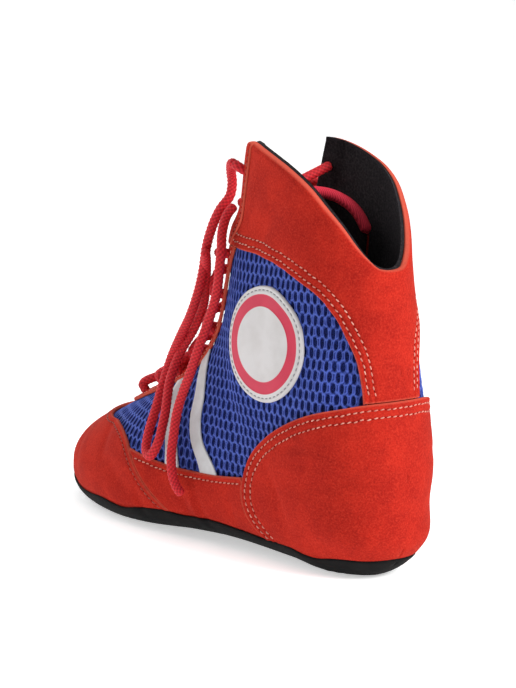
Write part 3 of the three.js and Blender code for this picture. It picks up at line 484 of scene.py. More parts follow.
def spline(points, step):
    """Centripetal cubic through points of any dimension: each span's knots are the square root of
    its chord, and the result is spaced evenly by its own length."""
    p = np.asarray(points, float)
    p = np.concatenate([[2 * p[0] - p[1]], p, [2 * p[-1] - p[-2]]])
    t = np.concatenate([[0], np.cumsum(np.sqrt(np.linalg.norm(np.diff(p, axis=0), axis=1)))])
    i = np.repeat(np.arange(1, len(p) - 2), 24)
    u = np.tile(np.arange(24) / 24, len(p) - 3)
    x = t[i] + u * (t[i + 1] - t[i])

    def lean(a, b, ta, tb):
        return (a * (tb - x)[:, None] + b * (x - ta)[:, None]) / (tb - ta)[:, None]
    a1 = lean(p[i - 1], p[i], t[i - 1], t[i])
    a2 = lean(p[i], p[i + 1], t[i], t[i + 1])
    a3 = lean(p[i + 1], p[i + 2], t[i + 1], t[i + 2])
    b1 = lean(a1, a2, t[i - 1], t[i + 1])
    b2 = lean(a2, a3, t[i], t[i + 2])
    fine = np.concatenate([lean(b1, b2, t[i], t[i + 1]), p[-2:-1]])
    run = run_along(fine)
    even = np.linspace(0, run[-1], max(2, round(run[-1] / step) + 1))
    return np.stack([np.interp(even, run, fine[:, k]) for k in range(fine.shape[1])], 1)


def side_line(rows, *corners):
    """A smooth line through side-view rows of x and z, closed by far corners."""
    return np.concatenate([spline(rows, 2.5), np.array(corners, float).reshape(-1, 2)])


def inside(x, z, outline):
    """Signed distance to a closed side-view outline, positive inside: the least distance to its
    edges, with the sign from how many of them a ray to the right crosses."""
    near, odd = np.full(x.shape, 1e12), np.zeros(x.shape, bool)
    for (ax, az), (bx, bz) in zip(outline, np.roll(outline, -1, 0)):
        ex, ez = bx - ax, bz - az
        t = np.clip(((x - ax) * ex + (z - az) * ez) / (ex * ex + ez * ez + 1e-12), 0, 1)
        near = np.minimum(near, (x - ax - t * ex) ** 2 + (z - az - t * ez) ** 2)
        if ez:
            odd ^= ((az > z) != (bz > z)) & (x < ax + (z - az) * ex / ez)
    return np.where(odd, 1, -1) * np.sqrt(near)


def on_surface(skin, field):
    """Turns a side-view distance into one along the surface: it is divided by its slope there,
    which comes from its steps on the grid and the lengths of the grid's cells."""
    p_row, p_column = np.gradient(skin, axis=(0, 1))
    f_row, f_column = np.gradient(field)
    a, b, c = (p_row * p_row).sum(-1), (p_row * p_column).sum(-1), (p_column * p_column).sum(-1)
    area = np.maximum(a * c - b * b, 1e-9)
    slope = (c * f_row ** 2 - 2 * b * f_row * f_column + a * f_column ** 2) / area
    return field / np.sqrt(np.clip(slope, .05, None))


# Rows of the seams: share of the length; height as share of the instep height and of the shaft
COUNTER = np.array([
    (-.080, .835, 0), (.012, .829, 0), (.072, .792, 0), (.124, .752, 0), (.178, .694, 0), (.234, .612, 0),
    (.276, .524, 0), (.299, .436, 0), (.309, .345, 0), (.309, .253, 0), (.300, .180, 0), (.270, .050, 0),
    (.250, -.300, 0)])
CUFF = np.array([
    (.480, 1, .47), (.385, 1, .463), (.269, 1, .446), (.182, 1, .386), (.120, 1, .304), (.080, 1, .171),
    (.053, 1, .033), (.042, .916, 0), (.036, .819, 0), (.033, .700, 0)])
TOE = np.array([
    (.470, -.300, 0), (.510, .060, 0), (.540, .153, 0), (.565, .208, 0), (.595, .280, 0), (.628, .364, 0),
    (.655, .418, 0), (.709, .464, 0), (.804, .466, 0), (1.100, .467, 0)])
RAND = np.array([
    (.200, .395, 0), (.304, .383, 0), (.383, .359, 0), (.463, .351, 0), (.520, .353, 0), (.573, .366, 0),
    (.640, .391, 0), (.700, .420, 0)])
# The top line: share of the length; share of the rise from the notch behind to the flap's tip
NOTCH, TIP = 150.0, 206.0
TOPLINE = np.array([
    (-.060, -.02), (.033, 0), (.047, .09), (.063, .21), (.085, .37), (.113, .52), (.145, .67), (.185, .79),
    (.235, .89), (.290, .97), (.325, 1), (.420, 1)])
# The throat: girth; half width as share of the width
THROAT_WIDTH = 48.0
THROAT = np.array([
    (.268, .02), (.285, .12), (.320, .17), (.450, .21), (.550, .25), (.640, .29), (.720, .33), (.790, .37),
    (.880, .43), (.960, .50), (1.07, .50)])
# The eyestay: girths of its front end and of where that end begins to round; its width
EYESTAY_START, EYESTAY_NOSE, EYESTAY_WIDTH = .245, .31, 12.0
# The back strap is narrower by this on the inner side, below a height where it widens into the
# cuff, and cut edges meet with this gap
STRAP_SHIFT, STRAP_TOP, STRAP_FADE, GAP = 4.0, 142, 25, 0.3


def seam_rows(table):
    """Side-view x and z of a seam's rows."""
    return np.stack([table[:, 0] * LENGTH, rise(table[:, 1], table[:, 2])], 1)


def throat_half(at):
    """Half the throat's width at a girth."""
    return through(THROAT[:, 0], THROAT[:, 1] * THROAT_WIDTH, at, turning=True)


# Lengths round each half girth, inner and outer, and how much of them the throat takes
NEAR_RIDGE = 60
half_run = [np.linalg.norm(np.diff(last_skin[:, k:k + HALF + 1], axis=1), axis=2).sum(1)
            for k in (0, HALF)]
throat_run = []
for run, way in zip(half_run, (-1, 1)):
    reach = abs(last_skin[:, HALF::way, 1] - last_skin[:, HALF:HALF + 1, 1])
    reach = np.maximum.accumulate(reach[:, :NEAR_RIDGE], axis=1)
    share = [np.interp(h, r, np.arange(NEAR_RIDGE) / HALF) for h, r in zip(throat_half(girth_at), reach)]
    throat_run.append(np.array(share) * run)


def from_ridge(at, around):
    """Length round the girth from the ridge, by the share of the half girth, negative inside."""
    inner, outer = (np.interp(at, girth_at, run) for run in half_run)
    return around * np.where(around < 0, inner, outer)


def throat_arc(at, side):
    """Length round the girth from the ridge to the throat's edge."""
    inner, outer = (np.interp(at, girth_at, run) for run in throat_run)
    return np.where(side < 0, inner, outer)


def seam_fields(at, around):
    """The distance inside each seam at every place of a grid, along the surface. The throat is a
    slit that ends in a half circle, and the eyestay a strip beside it that ends in an ellipse."""
    skin, _ = on_last(at, around)
    x, y, z = np.moveaxis(skin, -1, 0)
    top_line = np.stack([TOPLINE[:, 0] * LENGTH, NOTCH + TOPLINE[:, 1] * (TIP - NOTCH)], 1)
    far = 400
    strap_shift = np.where(around < 0, STRAP_SHIFT * np.clip((STRAP_TOP - z) / STRAP_FADE, 0, 1), 0)
    found = {
        "counter": inside(x, z, side_line(seam_rows(COUNTER), (-far, -far))),
        "cuff": inside(x + strap_shift, z, side_line(seam_rows(CUFF), (-far, rise(.7, 0)), (-far, far),
                                                     (132, far))),
        "toe": inside(x, z, side_line(seam_rows(TOE), (far, -far))),
        "rand": inside(x, z, side_line(seam_rows(RAND), (193, -far), (55, -far))),
        "top": inside(x, z, side_line(top_line, (far, TIP), (far, -far), (-far, -far), (-far, NOTCH))),
        "seam": z - seam_z(x),
    }
    found = {name: on_surface(skin, field) for name, field in found.items()}
    ridge, _ = on_last(at, np.zeros_like(at))
    across = abs(y - ridge[..., 1])
    before = np.maximum(THROAT[0, 0] - at, 0) * LENGTH
    slit = np.hypot(across, before) - throat_half(at)
    above = abs(around) < .5
    found["throat"] = np.where(above, on_surface(skin, slit), 99.0)
    arc = np.sign(around) * from_ridge(at, around)
    nose = np.clip((EYESTAY_NOSE - at) / (EYESTAY_NOSE - EYESTAY_START), 0, 1.2)
    reach = throat_arc(at, np.sign(around)) + EYESTAY_WIDTH
    found["stay"] = reach * np.sqrt(np.clip(1 - nose ** 2, 0, 1)) - 9 * np.maximum(nose - 1, 0) - abs(arc)
    return found


def least(*fields):
    """The distance inside all of the fields: the smallest of them at each place."""
    return np.minimum.reduce(fields)


def panel(name, grid, edge, outer, inner, roll=1.0, lift=0.0, dips=(), bends=(), marks=(),
          backed=False):
    """A sheet cut from the skin where edge is positive. outer and inner are the heights of its faces
    over the last's skin. Its outer face drops along a quarter of a circle within roll of the edge
    and stands higher by lift near it. dips and bends pair a field with a height drawn from it, and
    with levels where the sheet gets corners of its own: dips shape the outer face alone, bends
    carry the whole sheet. marks are the two columns of the UV map and one for rim, which is
    otherwise the distance from the edge."""
    at, around, faces = grid
    shaped = [*dips, *bends]
    columns = [at, around, edge, *[entry[0] for entry in shaped], *marks]
    values = np.stack([np.broadcast_to(c, at.shape).ravel() for c in columns], 1)
    values, faces = split(values, faces, 2, False)
    cuts = [(2, roll * .25), (2, roll)]
    for k, entry in enumerate(shaped):
        cuts += [(3 + k, level) for level in (entry[2] if len(entry) > 2 else ())]
    for column, level in cuts:
        values[:, column] -= level
        values, faces = split(values, faces, column, True)
        values[:, column] += level
    t = np.clip(values[:, 2] / roll, 0, 1)
    top = outer + lift * np.exp(-(values[:, 2] / 6) ** 2) - roll * (1 - np.sqrt(1 - (1 - t) ** 2))
    bottom = np.full(len(values), float(inner))
    for k, (_, height, *_) in enumerate(shaped):
        change = height(values[:, 3 + k])
        top = top + change
        if k >= len(dips):
            bottom = bottom + change
    top, _ = on_last(values[:, 0], values[:, 1], top)
    bottom, _ = on_last(values[:, 0], values[:, 1], bottom)
    extra = values[:, 3 + len(shaped):]
    top, faces, bottom, extra, near = weld(top, faces, bottom, extra, values[:, 2])
    points, faces = closed(top, bottom, faces, backed)
    uv = np.concatenate([extra[:, :2]] * 2) if marks else None
    return body(name, points, faces, uv, np.concatenate([extra[:, 2] if marks else near] * 2))


def groove(field, rows):
    """The stitches draw the sheet down along each row and leave it puffed beside them."""
    def height(d):
        down = sum(np.exp(-((d - row) / .75) ** 2) for row in rows)
        puff = sum(np.exp(-((d - row - turn * 1.7) / .9) ** 2) for row in rows for turn in (-1, 1))
        return .12 * puff - .36 * down
    return field, height, [row + turn for row in rows for turn in (-.85, 0, .85)]


def fold(radius, depth):
    """The sheet is turned in along a quarter of a circle towards the edge."""
    return lambda d: -depth * (1 - np.sqrt(1 - (1 - np.clip(d / radius, 0, 1)) ** 2))


at, around, faces = sheet_grid(0, AT_END, 340, -1, 1, 237)
skin_grid = (at, around, faces)
seam = seam_fields(at, around)
SIDES = (("outer", 1), ("inner", -1))
# Rows of stitches, from the cut edge: the double rows, the single ones, and those by the throat
STITCH_ROWS, ONE_ROW, STAY_ROW, FACING_ROW = (3.0, 6.8), 3.2, 2.5, 2.2

# The upper's red pieces: split suede 1.5 mm thick with a short brushed nap, cut with a knife and
# sewn down with two rows of thread. The top edge of the cuff is turned in over the lining.
suede = new_material("brushed split suede", 0.9, 0.08, 0.12, "#ff6a50")
place = node(suede, "ShaderNodeTexCoord").outputs["Object"]
# Where a hand has brushed the nap it lies over in clouds a thumb wide, lighter and darker
cloud = node(suede, "ShaderNodeTexNoise",
             {"Scale": 1 / .016, "Detail": 5.0, "Roughness": .62, "Distortion": .4},
             Vector=place).outputs["Fac"]
brushed_over = node(suede, "ShaderNodeMapRange", {"From Min": .36, "From Max": .64},
                    Value=cloud).outputs[0]
hide = node(suede, "ShaderNodeMix", {"data_type": "RGBA", 6: linear("#a01e16"), 7: linear("#b4261a")},
            _0=brushed_over).outputs[2]
# Tufts of fibre 0.9 mm apart give the grain that shows at arm's length
tuft = node(suede, "ShaderNodeTexNoise", {"Scale": 1 / .0009, "Detail": 3.0, "Roughness": .7},
            Vector=place).outputs["Fac"]
tuft_tip = node(suede, "ShaderNodeMapRange", {"From Min": .48, "From Max": .72, "To Max": .55},
                Value=tuft).outputs[0]
napped = node(suede, "ShaderNodeMix", {"data_type": "RGBA", 7: linear("#d03f2c")}, _0=tuft_tip,
              _6=hide).outputs[2]
# Between the tufts the roots of the nap lie in shade
root = node(suede, "ShaderNodeMapRange", {"From Min": .46, "From Max": .3, "To Max": .5},
            Value=tuft).outputs[0]
shaded = node(suede, "ShaderNodeMix", {"data_type": "RGBA", 7: linear("#701510")}, _0=root,
              _6=napped).outputs[2]
# A cut edge frays into paler fibres, and its raised rim gets a painted highlight, both for
# the width of the sheet's own thickness
from_edge = node(suede, "ShaderNodeAttribute", {"attribute_name": "rim"}).outputs["Fac"]
frayed_and_highlit_rim = node(suede, "ShaderNodeMapRange", {"From Min": 1.1, "From Max": .1, "To Max": .5},
              Value=from_edge).outputs[0]
edged = node(suede, "ShaderNodeMix", {"data_type": "RGBA", 7: linear("#e0705a")}, _0=frayed_and_highlit_rim, _6=shaded)
# Single fibres are combed along the boot, drawn 0.24 mm apart where real ones are finer
combed = node(suede, "ShaderNodeMapping", {"Scale": (.35, 1, 1)}, Vector=place).outputs[0]
fibre = node(suede, "ShaderNodeTexNoise", {"Scale": 1 / .00024, "Detail": 2.0},
             Vector=combed).outputs["Fac"]
grain_bump = node(suede, "ShaderNodeBump", {"Strength": .9, "Distance": .00022}, Height=tuft).outputs[0]
relief = node(suede, "ShaderNodeBump", {"Strength": .5, "Distance": .00008}, Height=fibre,
              Normal=grain_bump)
surface(suede, edged.outputs[2], relief.outputs[0])

below_seams = least(seam["seam"], seam["top"], seam["throat"])
counter_edge = least(seam["counter"], below_seams)
toe_edge = least(seam["toe"], below_seams)
rand_edge = least(seam["rand"], -seam["counter"] - GAP, -seam["toe"] - GAP, seam["seam"])
cuff_edge = least(seam["cuff"], -seam["counter"] - GAP, below_seams)
stay_edge = least(seam["stay"], -seam["cuff"] - GAP, -seam["toe"] - GAP, below_seams)
# A narrower strip lies on the cuff along the edge of each flap
FACING_OUT, FACING_INSET = 1.0, 4
facing_edge = least(seam["stay"] - FACING_INSET, seam["cuff"], seam["top"] - .4, seam["throat"])
turned_in = fold(3.4, 1.7)
TOP_FOLD = (seam["top"], turned_in, (.5, 1.6, 3.4))
# Under the rubber the suede is skived thinner. Where it lies on other pieces its edge is lifted
UNDER_RUBBER = (seam["seam"], lambda d: -.7 * np.clip((5.5 - d) / 2.5, 0, 1))
LIFT = {"heel_counter": .8, "ankle_cuff": .35, "toe_cap": .4, "rand": .3, "eyestay": 0, "flap_facing": 0}
# The punched lace holes, by girth and by the distance from the throat's edge
EYELETS, EYELET_INSET = np.array([.33, .42, .51, .6, .69, .78, .86]), 6.0


skin, _ = on_last(at, around)
eyelet_far = np.full(at.shape, 99.0)
for _, side in SIDES:
    reach = (throat_arc(EYELETS, side) + EYELET_INSET) / abs(from_ridge(EYELETS, side))
    for centre in on_last(EYELETS, side * reach)[0]:
        eyelet_far = np.minimum(eyelet_far, np.linalg.norm(skin - centre, axis=2))


def pressed(d):
    """The suede is pressed in round a punched hole, with a low bead round the dip."""
    return .3 * np.exp(-((d - 4.2) / 1.1) ** 2) - 1.0 * np.exp(-(d / 2.9) ** 2)


def on_side(around, side):
    """Positive on one side of the boot alone."""
    return np.where(around * side > 0, 99.0, -99.0)


for name, edge, dips, bends in (
        ("heel_counter", counter_edge, [groove(seam["counter"], STITCH_ROWS), UNDER_RUBBER], []),
        ("toe_cap", toe_edge, [groove(seam["toe"], (ONE_ROW,)), UNDER_RUBBER], []),
        ("ankle_cuff", cuff_edge, [groove(seam["cuff"], STITCH_ROWS)], [TOP_FOLD]),
        ("eyestay", stay_edge, [groove(seam["stay"], (STAY_ROW,)), (eyelet_far, pressed)], [])):
    fit(panel(f"{name}_suede", skin_grid, edge, 0, -SUEDE, lift=LIFT[name], dips=dips, bends=bends),
        suede, "suede_red", name)
for name, side in SIDES:
    half = on_side(around, side)
    fit(panel(f"rand_{name}_suede", skin_grid, least(rand_edge, half), 0, -SUEDE, lift=LIFT["rand"],
              dips=[groove(seam["rand"], (ONE_ROW,)), UNDER_RUBBER]),
        suede, "suede_red", f"rand_{name}")
    fit(panel(f"flap_facing_{name}", skin_grid, least(facing_edge, half), FACING_OUT, .05, roll=.6,
              dips=[groove(seam["stay"] - FACING_INSET, (FACING_ROW,))], bends=[TOP_FOLD]),
        suede, "suede_red")

# The seam thread: bonded polyester 0.66 mm thick, dyed a dusty pink, in lockstitches 2.2 mm long.
# The machine's needle leaves a small hole at each end, where the thread dives into the suede; dark beads
# there are painted shade.
STITCH_LENGTH, STITCH_STEP, THREAD = 2.2, 3.2, 0.66


def crossings(field, level, at, around, *limits):
    """Where a field crosses a level on the grid's edges, as places, kept where the limits hold."""
    found = []
    for f0, f1, ends in ((field[:-1], field[1:], lambda g: (g[:-1], g[1:])),
                         (field[:, :-1], field[:, 1:], lambda g: (g[:, :-1], g[:, 1:]))):
        hit = (f0 - level) * (f1 - level) < 0
        t = (level - f0[hit]) / (f1[hit] - f0[hit])
        columns = []
        for grid in (at, around, *limits):
            a, b = ends(grid)
            columns.append(a[hit] * (1 - t) + b[hit] * t)
        found.append(np.stack(columns, 1))
    found = np.concatenate(found)
    return found[(found[:, 2:] > 0).all(1)][:, :2] if limits else found


def sewn(field, level, side, centre, out, *limits):
    """Stitch places along a level line of a field on one side: points, directions and normals. The
    crossings are put in order by their angle about a centre in the side view, smoothed four
    times, and respaced at the stitch step; each stitch strays a little from its row."""
    at, around, _ = skin_grid
    spots = crossings(field, level, at, around, around * side, *limits)
    skin, _ = on_last(spots[:, 0], spots[:, 1])
    order = np.argsort(np.arctan2(skin[:, 2] - centre[1], skin[:, 0] - centre[0]))
    spots, skin = spots[order], skin[order]
    run = run_along(skin)
    even = np.linspace(0, run[-1], int(run[-1] / .6))
    spots = np.stack([np.interp(even, run, spots[:, k]) for k in (0, 1)], 1)
    for _ in range(4):
        spots[1:-1] = (spots[:-2] + 2 * spots[1:-1] + spots[2:]) / 4
    line, normal = on_last(spots[:, 0], spots[:, 1], np.full(len(spots), out))
    run = run_along(line)
    count = max(2, int(run[-1] / STITCH_STEP))
    spread = np.random.default_rng(count + int(10 * level))
    even = np.linspace(STITCH_STEP / 2, run[-1] - STITCH_STEP / 2, count)
    even = even + spread.normal(0, .1, count)
    point, ahead, normal = (np.stack([np.interp(even, run, c[:, k]) for k in range(3)], 1)
                            for c in (line, np.gradient(line, axis=0), normal))
    point = point + np.cross(ahead, normal) * spread.normal(0, .25, count)[:, None]
    return point, ahead, normal


def strands(name, rows, length, width, sink, slant=0.0):
    """One short capsule at every stitch place, bowed so that its ends lie lower by sink, and turned
    from the row by slant, as a lockstitch lies."""
    point, ahead, normal = (np.concatenate(part) for part in zip(*rows))
    ahead = ahead / np.linalg.norm(ahead, axis=1, keepdims=True)
    ahead = ahead + slant * np.cross(normal, ahead)
    ahead /= np.linalg.norm(ahead, axis=1, keepdims=True)
    normal = normal - ahead * (ahead * normal).sum(1, keepdims=True)
    normal /= np.linalg.norm(normal, axis=1, keepdims=True)
    across = np.cross(normal, ahead)
    share = np.array([-1, -.88, -.5, .5, .88, 1])
    girth = np.array([0, .62, 1, 1, .62, 0]) * width / 2
    angle = np.arange(6) * np.pi / 3
    offset = np.stack([np.repeat(share * length / 2, 6), np.outer(girth, np.cos(angle)).ravel(),
                       np.outer(girth, np.sin(angle)).ravel() - np.repeat(sink * share ** 2, 6)], 1)
    frames = np.stack([ahead, across, normal], 1)
    points = (point[:, None] + offset @ frames).reshape(-1, 3)
    index = np.arange(36).reshape(6, 6)
    after = np.roll(index, -1, 1)
    quads = np.stack([index[:-1], after[:-1], after[1:], index[1:]], -1).reshape(-1, 4)
    one = np.concatenate([quads[:, [0, 1, 2]], quads[:, [0, 2, 3]]])
    faces = (one[None] + np.arange(len(point))[:, None, None] * 36).reshape(-1, 3)
    points, faces = weld(points, faces)
    return body(name, points, faces)


cotton = new_material("bonded polyester thread", 0.6, 0.3, 0.2)
place = node(cotton, "ShaderNodeTexCoord").outputs["Object"]
soil = node(cotton, "ShaderNodeTexNoise", {"Scale": 1 / .006, "Detail": 3.0}, Vector=place).outputs["Fac"]
soiled = node(cotton, "ShaderNodeMapRange", {"From Min": .4, "From Max": .65}, Value=soil).outputs[0]
thread = node(cotton, "ShaderNodeMix", {"data_type": "RGBA", 6: linear("#c27263"), 7: linear("#dfa08e")},
              _0=soiled)
# The plies of the thread, twisted 0.25 mm apart, give it a faint grain
ply = node(cotton, "ShaderNodeTexNoise", {"Scale": 1 / .00025, "Detail": 1.0}, Vector=place).outputs["Fac"]
relief = node(cotton, "ShaderNodeBump", {"Strength": .5, "Distance": .00008}, Height=ply)
surface(cotton, thread.outputs[2], relief.outputs[0])
# The toe cap's own row is sewn in a duller, brick red thread
tonal = new_material("brick red thread", 0.65, 0.2, 0.15)
place = node(tonal, "ShaderNodeTexCoord").outputs["Object"]
fray = node(tonal, "ShaderNodeTexNoise", {"Scale": 1 / .0005, "Detail": 2.0}, Vector=place).outputs["Fac"]
brick = node(tonal, "ShaderNodeMix", {"data_type": "RGBA", 6: linear("#7c2a22"), 7: linear("#b0584a")},
             _0=fray)
surface(tonal, brick.outputs[2])
# Down in a needle's hole the suede lies in its own shade
needle = new_material("needle hole shade", 0.95, 0.05)
place = node(needle, "ShaderNodeTexCoord").outputs["Object"]
depth = node(needle, "ShaderNodeTexNoise", {"Scale": 1 / .001}, Vector=place).outputs["Fac"]
painted_hole_shade = node(needle, "ShaderNodeMix", {"data_type": "RGBA", 6: linear("#5c1610"), 7: linear("#7c2118")},
           _0=depth)
surface(needle, painted_hole_shade.outputs[2])

# For each piece: the seam, the row's distance from it, the centre that orders it, and its limit
above_rubber = least(below_seams - 2, seam["seam"] - 5)
clear = least(-seam["counter"] - 2, above_rubber)
SEWING = {
    "heel_counter": [("counter", level, (20, 12), above_rubber) for level in STITCH_ROWS],
    "ankle_cuff": [("cuff", level, (130, 60), clear) for level in STITCH_ROWS],
    "toe_cap": [("toe", ONE_ROW, (215, 0), above_rubber)],
    "rand": [("rand", ONE_ROW, (120, -300),
              least(-seam["counter"] - 2, -seam["toe"] - 2, seam["seam"] - 2))],
    "eyestay": [("stay", STAY_ROW, (30, -300),
                 least(-seam["cuff"] - 2, -seam["toe"] - 2, seam["throat"] - 2))],
    "flap_facing": [("stay", FACING_INSET + FACING_ROW, (400, 60),
                     least(seam["cuff"] - 2, seam["top"] - 3, seam["throat"] - 1))],
}
for name, lines in SEWING.items():
    face = FACING_OUT if name == "flap_facing" else 0.0
    rows = []
    for field, level, centre, limit in lines:
        out = face + LIFT[name] * np.exp(-(level / 6) ** 2) - .02
        rows += [sewn(seam[field], level, side, centre, out, limit) for _, side in SIDES]
    # Between stitches a small dark bead stands for the painted shade down in each needle hole
    holes = [((p[:-1] + p[1:]) / 2 - n[:-1] * .22, a[:-1], n[:-1]) for p, a, n in rows]
    fit(strands(f"{name}_stitches", rows, STITCH_LENGTH, THREAD, sink=.5, slant=.2),
        tonal if name in ("toe_cap", "flap_facing") else cotton, "suede_red")
    fit(strands(f"{name}_needle_hole_shade", holes, length=.8, width=.6, sink=0), needle, "suede_red")

# The lining: black brushed textile on foam. It covers the whole inside, and its edge is rolled out
# along the top, where it shows as a dark bead behind the suede.
at, around, faces = sheet_grid(0, AT_END, 150, -1, 1, 131)
lining_grid = (at, around, faces)
lining = seam_fields(at, around)
# Its faces, measured from the last's skin, and how far it stands above the cuff's edge
LINING_OUT, LINING_IN, LINING_PROUD = -2.95, -4, .6
lining_edge = least(lining["seam"], lining["top"] + LINING_PROUD, lining["throat"])
brushed = new_material("brushed black textile", 0.93, 0.08, 0.2, "#8a868e")
place = node(brushed, "ShaderNodeTexCoord").outputs["Object"]
# Knitted on fine needles: ribs 0.9 mm apart that run up the boot, under a thin fluff
ribs = node(brushed, "ShaderNodeTexWave",
            {"bands_direction": "X", "Scale": WAVE / .0009, "Distortion": .6},
            Vector=place).outputs["Fac"]
fluff = node(brushed, "ShaderNodeTexNoise", {"Scale": 1 / .0012, "Detail": 4.0, "Roughness": .65},
             Vector=place).outputs["Fac"]
lint = node(brushed, "ShaderNodeMapRange", {"From Min": .4, "From Max": .75}, Value=fluff).outputs[0]
black = node(brushed, "ShaderNodeMix", {"data_type": "RGBA", 6: linear("#191719"), 7: linear("#373234")},
             _0=lint).outputs[2]
rib_bump = node(brushed, "ShaderNodeBump", {"Strength": .35, "Distance": .0001}, Height=ribs).outputs[0]
relief = node(brushed, "ShaderNodeBump", {"Strength": .6, "Distance": .0003}, Height=fluff,
              Normal=rib_bump)
surface(brushed, black, relief.outputs[0])


def lining_panel():
    """Outer face against the mesh, inner face to the foot, both turned in with the cuff's top edge;
    past that edge the lining rises a little and is rounded over. A facing strip along the throat
    stands out on the inside, with a seam behind it."""
    at, around, faces = lining_grid
    values = np.stack([c.ravel() for c in (at, around, lining_edge, lining["top"], lining["stay"])], 1)
    values, cut = split(values, faces, 2, False)
    for level in (.2, .55, 1.0):
        values[:, 2] -= level
        values, cut = split(values, cut, 2, True)
        values[:, 2] += level
    edge, below_top, stay = values[:, 2:].T
    under_fold = np.maximum(below_top, 0)
    drop = 1 - np.sqrt(1 - (1 - np.clip(edge, 0, 1)) ** 2)
    facing = .55 * np.clip(stay / .8, 0, 1) - .35 * np.exp(-((stay + .5) / .6) ** 2)
    turned = turned_in(under_fold) - .35 * np.exp(-(under_fold / 4) ** 2)
    bead = 1.3 * np.exp(-((below_top + .4) / 2.6) ** 2)
    thick = .9 * np.exp(-(below_top / 3) ** 2)
    top, _ = on_last(values[:, 0], values[:, 1], LINING_OUT + bead - 1.1 * drop + turned)
    bottom, _ = on_last(values[:, 0], values[:, 1], LINING_IN + .5 * drop + turned + thick - facing)
    top, cut, bottom = weld(top, cut, bottom)
    return body("lining_textile", *closed(top, bottom, cut))


fit(lining_panel(), brushed, "lining_black", "upper")

# The sock liner: a thin footbed of the same black textile, die cut, that lies loose on the lasting
# margin inside the boot.
SOCK_UNDER, SOCK_TOP = .3, 3.3
at, around, faces = sheet_grid(0, .92, 150, -1, 1, 111)
under, _ = on_last(at, around, -4.3)
below_face = seam_z(under[..., 0]) + SOCK_TOP - under[..., 2]
values = np.concatenate([under.reshape(-1, 3), below_face.reshape(-1, 1)], 1)
values, faces = split(values, faces, 3, False)
top, bottom = values[:, :3].copy(), values[:, :3].copy()
top[:, 2] = seam_z(top[:, 0]) + SOCK_TOP
bottom[:, 2] = np.maximum(bottom[:, 2], seam_z(bottom[:, 0]) + SOCK_UNDER)
bottom, faces, top = weld(bottom, faces, top)
fit(body("sock_liner", *closed(bottom, top, faces)), brushed, "lining_black", "insole")

# The mesh: padded air mesh of blue polyester, knitted with rows of open slots. Between the seams it
# is a net of rounded strands over a dark spacer.
MESH_FACE, MESH_BACK, SPACER_FACE, SPACER_BACK = -1.8, -2.7, -2.72, -2.92
SLOT_PITCH, SLOT_ROWS, SLOT_HALF_WIDTH, SLOT_HALF_HEIGHT = 4.3, 5.2, 1.1, 2.25
# From which girth to which the cloth is cut, and the grid on which its grain is worked out
CLOTH_FROM, CLOTH_TO = .18, 1.0
GRAIN_ROWS, GRAIN_COLUMNS, SOLVER_STEPS = 140, 90, 500


def grain(at, around):
    """Lengths across and up the cloth at each place. Their steps along every grid edge come as
    close as they can to the edge's own horizontal and upward lengths: the least-squares equations
    are solved by conjugate gradients."""
    skin, normal = on_last(at, around)
    level = np.cross((0, 0, 1), normal)
    strength = np.linalg.norm(level, axis=2, keepdims=True)
    level /= np.maximum(strength, 1e-6)
    upward = np.cross(normal, level)
    out = []
    for aim in (level, upward):
        down, across = np.diff(skin, axis=0), np.diff(skin, axis=1)
        weight_down = (strength[1:] + strength[:-1])[..., 0] / (down ** 2).sum(-1)
        weight_across = (strength[:, 1:] + strength[:, :-1])[..., 0] / (across ** 2).sum(-1)
        step_down = (down * (aim[1:] + aim[:-1]) / 2).sum(-1)
        step_across = (across * (aim[:, 1:] + aim[:, :-1]) / 2).sum(-1)

        def gather(flow_down, flow_across):
            total = np.zeros(at.shape)
            total[1:] += weight_down * flow_down
            total[:-1] -= weight_down * flow_down
            total[:, 1:] += weight_across * flow_across
            total[:, :-1] -= weight_across * flow_across
            return total
        right = gather(step_down, step_across)
        scale = np.zeros(at.shape)
        scale[1:] += weight_down
        scale[:-1] += weight_down
        scale[:, 1:] += weight_across
        scale[:, :-1] += weight_across
        x = skin[..., 0 if aim is level else 2]
        residue = right - gather(np.diff(x, axis=0), np.diff(x, axis=1))
        move = residue / scale
        dot = (residue * move).sum()
        for _ in range(SOLVER_STEPS):
            push = gather(np.diff(move, axis=0), np.diff(move, axis=1))
            size = dot / (move * push).sum()
            x = x + size * move
            residue = residue - size * push
            fresh = residue / scale
            dot, before = (residue * fresh).sum(), dot
            move = fresh + dot / before * move
        out.append(x)
    return out


def slot_distance(across, up):
    """Distance from the nearest slot's edge: slots are ellipses in staggered rows."""
    nearest = np.full(across.shape, 9.0)
    for shift in (0, 1):
        u = across / SLOT_PITCH - shift / 2
        v = up / (2 * SLOT_ROWS) - shift / 2
        u = (u - np.round(u)) * SLOT_PITCH / SLOT_HALF_WIDTH
        v = (v - np.round(v)) * 2 * SLOT_ROWS / SLOT_HALF_HEIGHT
        nearest = np.minimum(nearest, (np.hypot(u, v) - 1) * SLOT_HALF_WIDTH)
    return nearest


air_mesh = new_material("polyester air mesh", 0.65, 0.25, 0.15, "#7f98ff")
# The UV map holds centimetres across and up the cloth. The yarn is looped in columns 0.55 mm
# apart and rows 0.42 mm apart, and each loop catches the light at its crown.
uv = node(air_mesh, "ShaderNodeUVMap", {"uv_map": "UVMap"}).outputs[0]
wales = node(air_mesh, "ShaderNodeTexWave", {"bands_direction": "X", "Scale": WAVE * 10 / .55},
             Vector=uv)
courses = node(air_mesh, "ShaderNodeTexWave", {"bands_direction": "Y", "Scale": WAVE * 10 / .42},
               Vector=uv)
loops = node(air_mesh, "ShaderNodeMath", {"operation": "MULTIPLY"}, _0=wales.outputs["Fac"],
             _1=courses.outputs["Fac"]).outputs[0]
crown = node(air_mesh, "ShaderNodeMapRange", {"From Min": .15, "From Max": .8}, Value=loops).outputs[0]
knit = node(air_mesh, "ShaderNodeMix", {"data_type": "RGBA", 6: linear("#16246e"), 7: linear("#2b43a6")},
            _0=crown).outputs[2]
